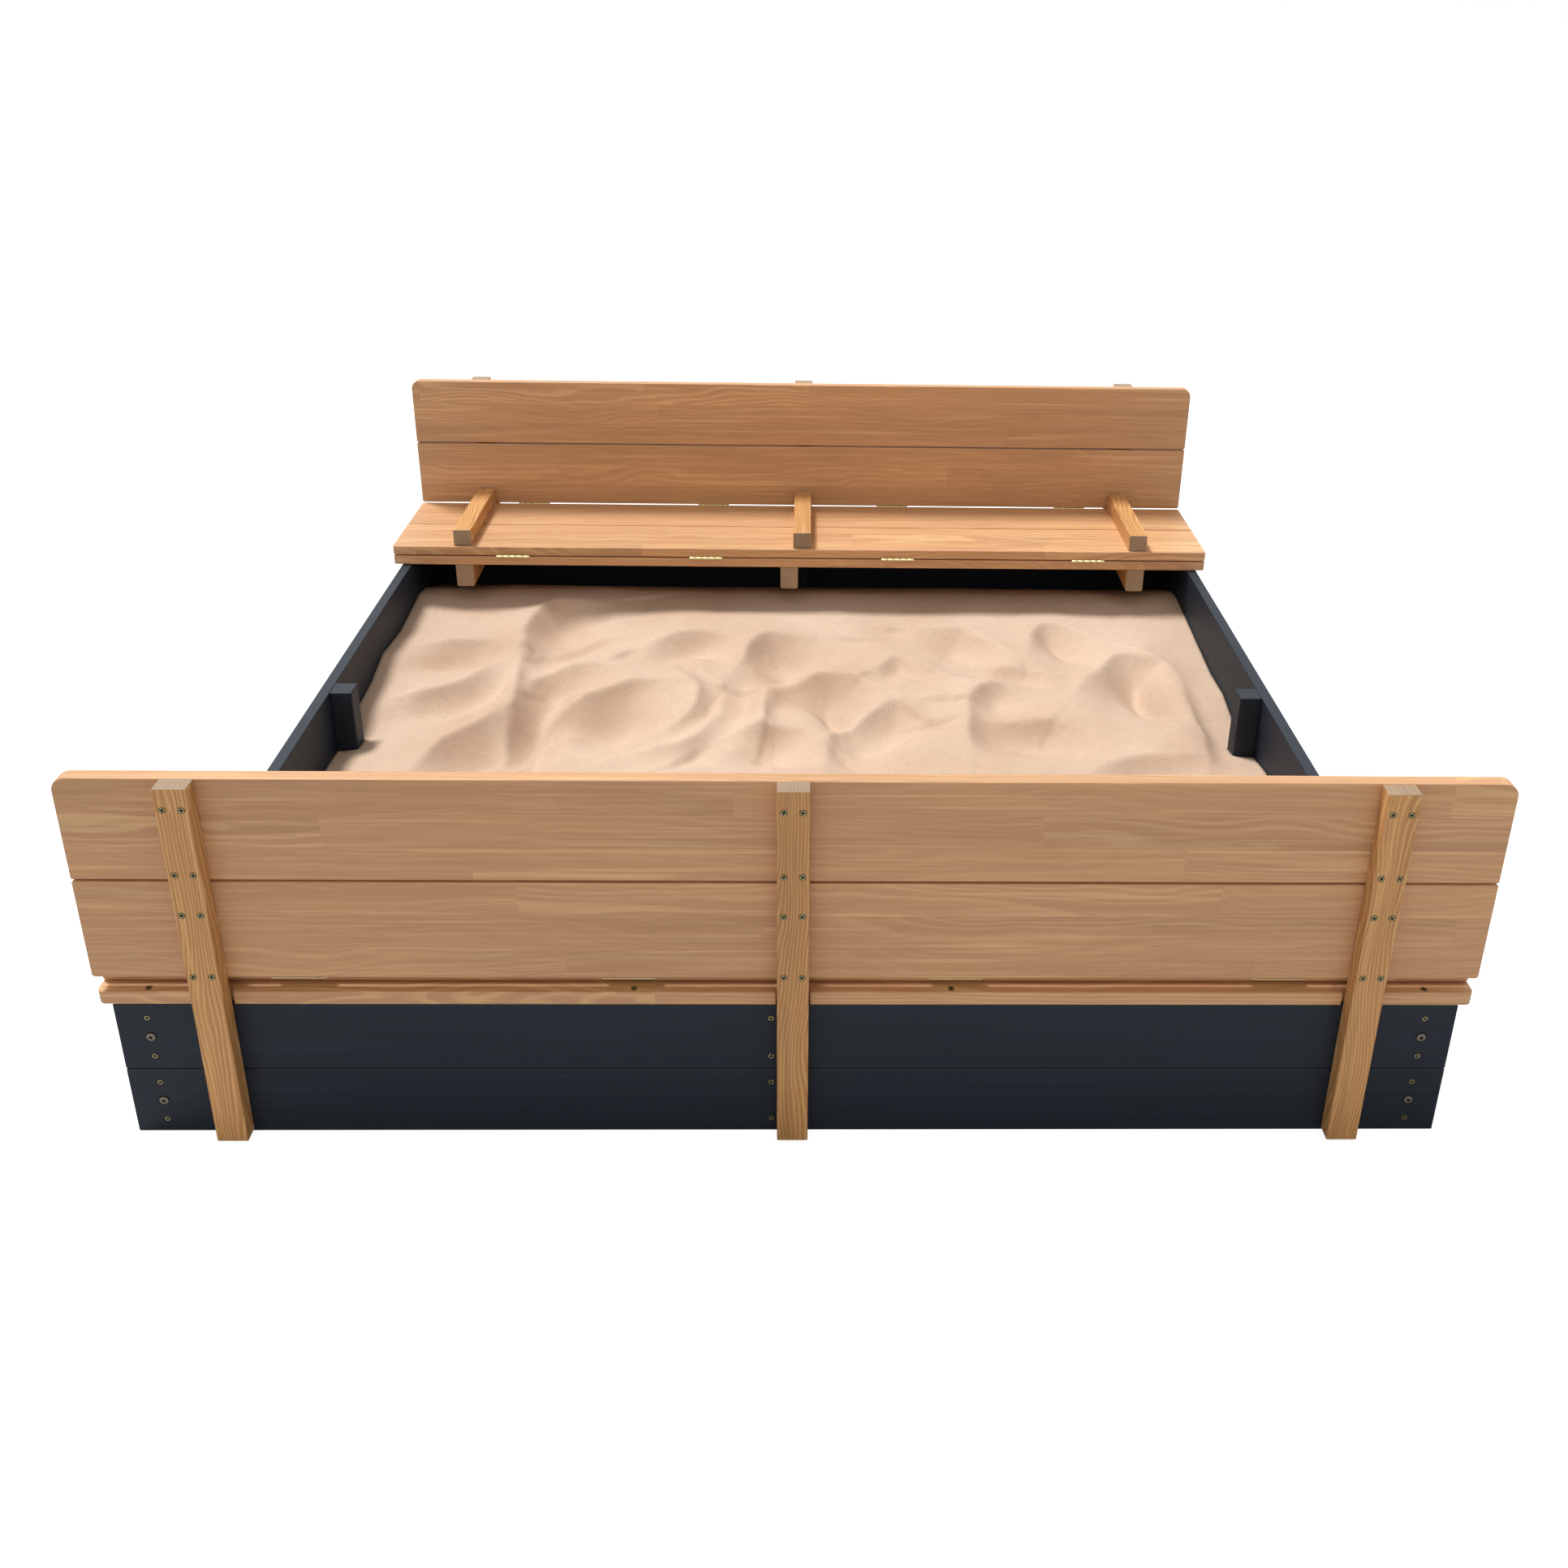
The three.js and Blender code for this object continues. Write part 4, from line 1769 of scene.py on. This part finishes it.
@dataclass
class SandBed:
    """The sand: scooped and heaped by hand, low along the front and rear walls."""

    cells: int = 292
    level: float = 96.0
    highest: float = 111.4
    shore: float = 37.0
    crest_line: float = 566.0
    wall_line: float = 731.0
    repose: float = 1.0
    boldness: float = 2.2
    softenings: int = 1
    crests: tuple[Crest, ...] = (
        Crest(((-425, 20), (-410, 90), (-350, 150), (-280, 190), (-205, 185)), 26, 80, 7),
        Crest(((-470, 130), (-455, 230), (-390, 265), (-300, 235)), 15, 45, 5),
        Crest(((-270, 0), (-200, 60), (-172, 150), (-200, 215)), 9, 26, 6),
        Crest(((-310, -55), (-195, -25), (-145, 60), (-135, 170), (-175, 250)), 10, 30, 6),
        Crest(((-45, 110), (-30, 180), (40, 222), (100, 205), (150, 150)), 25, 60, 6),
        Crest(((-50, 40), (-62, 120), (-40, 200)), 8, 28, 5),
        Crest(((-130, 200), (-95, 310), (-60, 370), (30, 372)), 22, 48, 6),
        Crest(((-280, 325), (-230, 370), (-170, 380), (-100, 345)), 15, 34, 4),
        Crest(((220, 410), (290, 405), (330, 362), (380, 290)), 16, 40, 5),
        Crest(((405, 290), (436, 405), (490, 420), (550, 370)), 16, 45, 4),
        Crest(((455, 130), (515, 235), (570, 300), (640, 290), (672, 225)), 26, 62, 6),
        Crest(((276, -40), (280, 90), (296, 160), (345, 182), (420, 180)), 12, 60, 6),
        Crest(((282, 70), (350, 68), (420, 62), (490, 20)), 15, 50, 3),
        Crest(((-485, 260), (-505, 400), (-480, 490), (-370, 522)), 22, 60, 6),
        Crest(((-680, 318), (-610, 334), (-530, 326)), 16, 42, 4),
        Crest(((290, 270), (360, 250), (440, 222)), 11, 24, 4),
        Crest(((-600, -120), (-565, -30), (-515, 25), (-480, 110)), 20, 50, 6),
        Crest(((-478, -130), (-470, 20), (-486, 180), (-505, 330)), 15, 34, 7),
        Crest(((-140, -10), (-90, 34), (0, 36), (34, 10)), 18, 50, 4),
        Crest(((40, -110), (46, 0), (95, 60), (150, 122), (200, 124)), 16, 48, 6),
        Crest(((450, -100), (500, -62), (580, -48), (665, -60)), 12, 40, 3),
        Crest(((640, -110), (655, 20), (662, 130), (672, 250)), 9, 40, 7),
        Crest(((130, 240), (172, 282), (215, 250)), 9, 26, 4),
        Crest(((-690, 120), (-640, 138), (-580, 165), (-520, 280)), 15, 36, 5),
        Crest(((-450, 325), (-390, 382), (-310, 380)), 8, 34, 3),
        Crest(((-480, -420), (-400, -300), (-280, -260), (-180, -320)), 22, 70, 6),
        Crest(((-60, -420), (20, -300), (140, -280), (230, -350)), 20, 60, 6),
        Crest(((340, -460), (400, -330), (520, -300), (640, -360)), 22, 70, 6),
        Crest(((-660, -300), (-580, -240), (-480, -250)), 14, 45, 5),
        Crest(((-230, -130), (-120, -150), (10, -200)), 12, 45, 4),
        Crest(((200, -140), (300, -170), (420, -220)), 12, 45, 4),
        Crest(((-300, -500), (-180, -470), (-60, -520)), 12, 40, 3),
    )

    def build(self, material: bpy.types.Material) -> bpy.types.Object:
        """Makes the sand as one closed mesh, cut clear of the posts.

        Args:
            material: Its finish.

        Returns:
            The piece.
        """
        low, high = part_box("sand")
        posts = [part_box(n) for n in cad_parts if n.startswith("post_")]
        xs = self.stations(low.x, high.x, [c.x for pair in posts for c in pair])
        ys = self.stations(low.y, high.y, [c.y for pair in posts for c in pair])
        grid_x, grid_y = np.meshgrid(xs / MM, ys / MM, indexing="ij")
        heights = self.heights(grid_x, grid_y) * MM
        kept = self.kept_cells(xs, ys, posts)
        mesh = self.closed_mesh(xs, ys, heights, kept, low.z)
        piece = object_from("raked_play_sand", mesh, material)
        return settle(piece, "box", ["sand"])

    def stations(self, low: float, high: float, cuts: Sequence[float]) -> np.ndarray:
        """Spaces the grid lines, with a line on each side of every post.

        Args:
            low: The first line.
            high: The last line.
            cuts: Where lines have to fall, some of them outside the sand.

        Returns:
            The lines' places, rising.
        """
        even = np.linspace(low, high, self.cells)
        step = even[1] - even[0]
        gap = 0.3 * MM
        for cut in sorted(set(cuts)):
            place = cut
            for shifted in (place - gap, place + gap):
                if low + step < shifted < high - step:
                    even[np.argmin(np.abs(even - shifted))] = shifted
        return np.unique(even)

    def kept_cells(
        self, xs: np.ndarray, ys: np.ndarray, posts: Sequence[tuple[Vector, Vector]]
    ) -> np.ndarray:
        """Marks the cells that hold sand and not a post.

        Args:
            xs: The grid lines along X.
            ys: The grid lines along Y.
            posts: The posts' boxes.

        Returns:
            A grid of True and False, one for each cell.
        """
        middle_x = (xs[1:] + xs[:-1]) / 2.0
        middle_y = (ys[1:] + ys[:-1]) / 2.0
        kept = np.ones((len(middle_x), len(middle_y)), bool)
        for low, high in posts:
            in_x = (middle_x > low.x - 0.4 * MM) & (middle_x < high.x + 0.4 * MM)
            in_y = (middle_y > low.y - 0.4 * MM) & (middle_y < high.y + 0.4 * MM)
            kept[np.ix_(in_x, in_y)] = False
        return kept

    def heights(self, x: np.ndarray, y: np.ndarray) -> np.ndarray:
        """Works out the sand's height over the grid, in millimetres.

        Args:
            x: Each point's X.
            y: Each point's Y.

        Returns:
            Each point's height.
        """
        slow = self.rough(x, y, 300.0, 1.7)
        medium = self.rough(x, y, 120.0, 4.1)
        fine = self.rough(x, y, 34.0, 9.3)
        bend_x = x + 10.0 * self.rough(x, y, 70.0, 21.0)
        bend_y = y + 10.0 * self.rough(x, y, 70.0, 37.0)
        ground = self.level + 5.0 * slow + 3.0 * medium
        for crest in self.crests:
            ground = ground + self.heaped(crest, bend_x, bend_y)
        ground = ground + 1.2 * fine * (0.4 + np.clip(2.0 * medium, 0.0, 1.0))
        ground = self.at_side_walls(ground, x, y)
        ground = self.at_end_walls(ground, x, y)
        ground = self.softened(ground, self.softenings)
        return np.clip(ground, 12.0, self.highest - 0.8 * np.abs(fine))

    @staticmethod
    def rough(x: np.ndarray, y: np.ndarray, size: float, seed: float) -> np.ndarray:
        """Gives smooth noise over the grid.

        Args:
            x: Each point's X.
            y: Each point's Y.
            size: The size of its bumps, in millimetres.
            seed: Which noise.

        Returns:
            Numbers from about -1 to 1.
        """
        flat = [
            noise.noise(Vector((a / size, b / size, seed))) for a, b in zip(x.ravel(), y.ravel())
        ]
        return np.array(flat).reshape(x.shape)

    def heaped(self, crest: Crest, x: np.ndarray, y: np.ndarray) -> np.ndarray:
        """Works out what a crest heaps up and its slip face takes away.

        Args:
            crest: The crest.
            x: Each point's X.
            y: Each point's Y.

        Returns:
            The change of height.
        """
        away, side, share = self.from_path(self.smooth_path(crest.path), x, y)
        strength = np.sin(np.pi * np.clip(share, 0.0, 1.0)) ** 0.8
        drop = self.boldness * crest.drop
        face = 1.5 * drop / self.repose
        down = np.clip(away / face, 0.0, 1.0)
        fallen = 1.5 * down - 0.5 * down**3
        returning = np.exp(-(np.clip(away - face, 0.0, None) / crest.reach) ** 2)
        slip = -drop * fallen * returning
        heap = self.boldness * crest.rise * np.exp(-away / 45.0)
        return strength * np.where(side > 0, slip + heap, heap)

    @staticmethod
    def smooth_path(path: Sequence[tuple[float, float]], steps: int = 6) -> np.ndarray:
        """Runs a smooth curve through a path's points.

        Args:
            path: The points.
            steps: How many pieces each stretch is cut into.

        Returns:
            The curve's points, one row each.
        """
        points = np.array(path, float)
        padded = np.vstack([2 * points[0] - points[1], points, 2 * points[-1] - points[-2]])
        curve = []
        for a, b, c, d in zip(padded, padded[1:], padded[2:], padded[3:]):
            for t in np.arange(steps) / steps:
                curve.append(
                    0.5 * (2 * b + (c - a) * t + (2 * a - 5 * b + 4 * c - d) * t**2
                           + (3 * b - a - 3 * c + d) * t**3)
                )
        curve.append(points[-1])
        return np.array(curve)

    @staticmethod
    def from_path(
        curve: np.ndarray, x: np.ndarray, y: np.ndarray
    ) -> tuple[np.ndarray, np.ndarray, np.ndarray]:
        """Finds how each point lies from a curve.

        Args:
            curve: The curve's points.
            x: Each point's X.
            y: Each point's Y.

        Returns:
            The distance, the side (above 0 on the right), and the share of the way along.
        """
        nearest = np.full(x.shape, 1e9)
        side = np.zeros(x.shape)
        share, total = np.zeros(x.shape), np.zeros(x.shape)
        count = len(curve) - 1
        for index, ((ax, ay), (bx, by)) in enumerate(zip(curve, curve[1:])):
            run_x, run_y = bx - ax, by - ay
            part = ((x - ax) * run_x + (y - ay) * run_y) / (run_x**2 + run_y**2)
            part = np.clip(part, 0.0, 1.0)
            off_x, off_y = x - ax - part * run_x, y - ay - part * run_y
            away = np.hypot(off_x, off_y)
            closer = away < nearest
            nearest = np.where(closer, away, nearest)
            side = np.where(closer, run_y * off_x - run_x * off_y, side)
            weight = np.exp(-away / 14.0)
            share += weight * (index + part) / count
            total += weight
        return nearest, side, share / total

    def at_side_walls(self, ground: np.ndarray, x: np.ndarray, y: np.ndarray) -> np.ndarray:
        """Brings the sand to its level along the left and right walls.

        Args:
            ground: The height so far.
            x: Each point's X.
            y: Each point's Y.

        Returns:
            The new height.
        """
        places = [-560.0, -300.0, -83.0, 30.0, 102.0, 180.0, 263.0, 380.0, 523.0, 600.0]
        left = np.interp(y, places, [84, 92, 80, 74, 91, 94, 110, 98, 109, 96])
        right = np.interp(y, places, [92, 84, 85, 66, 69, 84, 80, 89, 101, 104])
        for sign, wanted in ((-1.0, left), (1.0, right)):
            share = np.clip(1.0 - (self.wall_line - sign * x) / 120.0, 0.0, 1.0)
            share = share * share * (3.0 - 2.0 * share)
            ground = ground * (1.0 - share) + wanted * share
        return ground

    def at_end_walls(self, ground: np.ndarray, x: np.ndarray, y: np.ndarray) -> np.ndarray:
        """Lets the sand fall away towards the front and rear walls, from a wavy crest.

        Args:
            ground: The height so far.
            x: Each point's X.
            y: Each point's Y.

        Returns:
            The new height.
        """
        line = self.crest_line + 14.0 * self.rough(x, y * 0.0, 210.0, 52.0)
        share = np.clip((np.abs(y) - line) / (self.wall_line - line), 0.0, 1.0)
        share = share ** 1.25
        return ground * (1.0 - share) + self.shore * share

    @staticmethod
    def softened(ground: np.ndarray, passes: int) -> np.ndarray:
        """Takes the knife edge off the crests.

        Args:
            ground: The height.
            passes: How many times to average with the neighbours.

        Returns:
            The softened height.
        """
        for _ in range(passes):
            edge = np.pad(ground, 1, mode="edge")
            around = edge[:-2, 1:-1] + edge[2:, 1:-1] + edge[1:-1, :-2] + edge[1:-1, 2:]
            ground = 0.5 * ground + 0.125 * around
        return ground

    @staticmethod
    def closed_mesh(
        xs: np.ndarray, ys: np.ndarray, heights: np.ndarray, kept: np.ndarray, floor: float
    ) -> bpy.types.Mesh:
        """Builds the top, the upright edges and the underside.

        Args:
            xs: The grid lines along X.
            ys: The grid lines along Y.
            heights: The height at each crossing.
            kept: Which cells hold sand.
            floor: The underside's height.

        Returns:
            The closed mesh.
        """
        rows, columns = kept.shape
        form = bmesh.new()
        tops: dict[tuple[int, int], bmesh.types.BMVert] = {}
        feet: dict[tuple[int, int], bmesh.types.BMVert] = {}

        def top(i: int, j: int) -> bmesh.types.BMVert:
            """Gives the surface point at a crossing, made once."""
            if (i, j) not in tops:
                tops[i, j] = form.verts.new((xs[i], ys[j], heights[i, j]))
            return tops[i, j]

        def foot(i: int, j: int) -> bmesh.types.BMVert:
            """Gives the point on the underside below a crossing, made once."""
            if (i, j) not in feet:
                feet[i, j] = form.verts.new((xs[i], ys[j], floor))
            return feet[i, j]

        following: dict[tuple[int, int], tuple[int, int]] = {}
        for i in range(rows):
            for j in range(columns):
                if not kept[i, j]:
                    continue
                face = form.faces.new((top(i, j), top(i + 1, j), top(i + 1, j + 1), top(i, j + 1)))
                face.smooth = True
                for (di, dj), start, end in (
                    ((0, -1), (i, j), (i + 1, j)),
                    ((1, 0), (i + 1, j), (i + 1, j + 1)),
                    ((0, 1), (i + 1, j + 1), (i, j + 1)),
                    ((-1, 0), (i, j + 1), (i, j)),
                ):
                    a, b = i + di, j + dj
                    if 0 <= a < rows and 0 <= b < columns and kept[a, b]:
                        continue
                    form.faces.new((foot(*start), foot(*end), top(*end), top(*start)))
                    following[start] = end
        start = next(iter(following))
        loop, at = [start], following[start]
        while at != start:
            loop.append(at)
            at = following[at]
        form.faces.new([feet[p] for p in reversed(loop)])
        made = bpy.data.meshes.new("raked_play_sand")
        form.to_mesh(made)
        form.free()
        return made


# ---------------------------------------------------------------- studio


@dataclass
class Studio:
    """The plain floor, the soft lights and the camera."""

    lens: float = 34.05
    sensor: float = 36.0
    shift_x: float = -0.0397
    shift_y: float = -0.1404
    pitch: float = -22.82
    roll: float = -1.07
    yaw: float = -1.54
    eye: tuple[float, float, float] = (0.01438, -2.08327, 1.27532)
    surround: float = 0.42
    floor_glow: float = 0.85
    brightness: float = 3.5
    softness: float = 14.0
    light_way: tuple[float, float, float] = (0.36, -0.24, -1.0)
    fill: float = 0.50
    fill_softness: float = 50.0
    fill_way: tuple[float, float, float] = (0.05, 0.66, -0.75)
    main_tint: tuple[float, float, float] = (0.97, 1.0, 1.05)
    fill_tint: tuple[float, float, float] = (1.0, 0.95, 0.88)

    def build(self) -> None:
        """Sets up the whole studio."""
        self.lay_floor()
        self.light_world()
        self.hang_lights()
        self.place_camera()
        scene = bpy.context.scene
        scene.view_settings.view_transform = "Standard"
        scene.view_settings.look = "None"

    def lay_floor(self) -> None:
        """Lays the pale studio floor."""
        form = bmesh.new()
        bmesh.ops.create_circle(form, cap_ends=True, segments=96, radius=30.0)
        mesh = bpy.data.meshes.new("studio_floor")
        form.to_mesh(mesh)
        form.free()
        material, tree, shader = new_surface("backlit_opal_acrylic")
        place = add(tree, "ShaderNodeTexCoord").outputs["Object"]
        fleck = add(tree, "ShaderNodeTexNoise", inputs={"Vector": place, "Scale": 3.0})
        colour = mix_colour(tree, fleck.outputs["Fac"], linear("#bebebd"), linear("#bababa"))
        tree.links.new(colour, shader.inputs["Base Color"])
        # lit from below as seen by the eye, which leaves only a faint shadow
        seen = add(tree, "ShaderNodeLightPath").outputs["Is Camera Ray"]
        shader.inputs["Emission Color"].default_value = (1.0, 1.0, 1.0, 1.0)
        tree.links.new(
            reckon(tree, "MULTIPLY", seen, self.floor_glow), shader.inputs["Emission Strength"]
        )
        shader.inputs["Roughness"].default_value = 0.9
        shader.inputs["Specular IOR Level"].default_value = 0.1
        object_from("studio_floor", mesh, material)

    def light_world(self) -> None:
        """Surrounds the scene with white for the eye, and with a dimmer, even light."""
        world = bpy.data.worlds.new("white_studio")
        bpy.context.scene.world = world
        world.use_nodes = True
        tree = world.node_tree
        background = tree.nodes["Background"]
        background.inputs[0].default_value = (1.0, 1.0, 1.0, 1.0)
        path = add(tree, "ShaderNodeLightPath")
        seen = reckon(
            tree, "MAXIMUM", path.outputs["Is Camera Ray"], path.outputs["Is Glossy Ray"]
        )
        strength = reckon(tree, "MULTIPLY_ADD", seen, 1.0 - self.surround, self.surround)
        tree.links.new(strength, background.inputs[1])

    def hang_lights(self) -> None:
        """Hangs a broad light high up behind the object, and a weak fill low in front of it."""
        for name, energy, softness, way, tint in (
            ("broad_softbox", self.brightness, self.softness, self.light_way, self.main_tint),
            ("front_fill", self.fill, self.fill_softness, self.fill_way, self.fill_tint),
        ):
            data = bpy.data.lights.new(name, "SUN")
            data.angle = math.radians(softness)
            data.energy = energy
            data.color = tint
            light = bpy.data.objects.new(name, data)
            light.rotation_mode = "QUATERNION"
            light.rotation_quaternion = Vector(way).to_track_quat("-Z", "Y")
            bpy.context.scene.collection.objects.link(light)

    def place_camera(self) -> None:
        """Stands the camera in front of the box, looking down over the front bench."""
        data = bpy.data.cameras.new("camera")
        data.lens = self.lens
        data.sensor_width = self.sensor
        data.shift_x, data.shift_y = self.shift_x, self.shift_y
        camera = bpy.data.objects.new("camera", data)
        camera.rotation_mode = "QUATERNION"
        turned = (
            Matrix.Rotation(math.radians(self.yaw), 4, "Z")
            @ Matrix.Rotation(math.radians(self.pitch), 4, "X")
            @ Matrix.Rotation(math.radians(self.roll), 4, "Y")
            @ Matrix.Rotation(math.radians(90.0), 4, "X")
        )
        camera.rotation_quaternion = turned.to_quaternion()
        camera.location = self.eye
        bpy.context.scene.collection.objects.link(camera)
        bpy.context.scene.camera = camera


def main() -> None:
    """Builds the sandbox and its studio."""
    logging.basicConfig(level=logging.INFO, format="%(name)s: %(message)s")
    rack = FinishRack()
    lumber = Lumber()
    screws = Screws()
    hinges = hinge_tree()
    Studio().build()
    BoxWalls().build(lumber, screws, rack)
    for side in Side:
        Bench(side).build(lumber, screws, rack, hinges)
    SandBed().build(rack.sand)


if __name__ == "__main__":
    main()
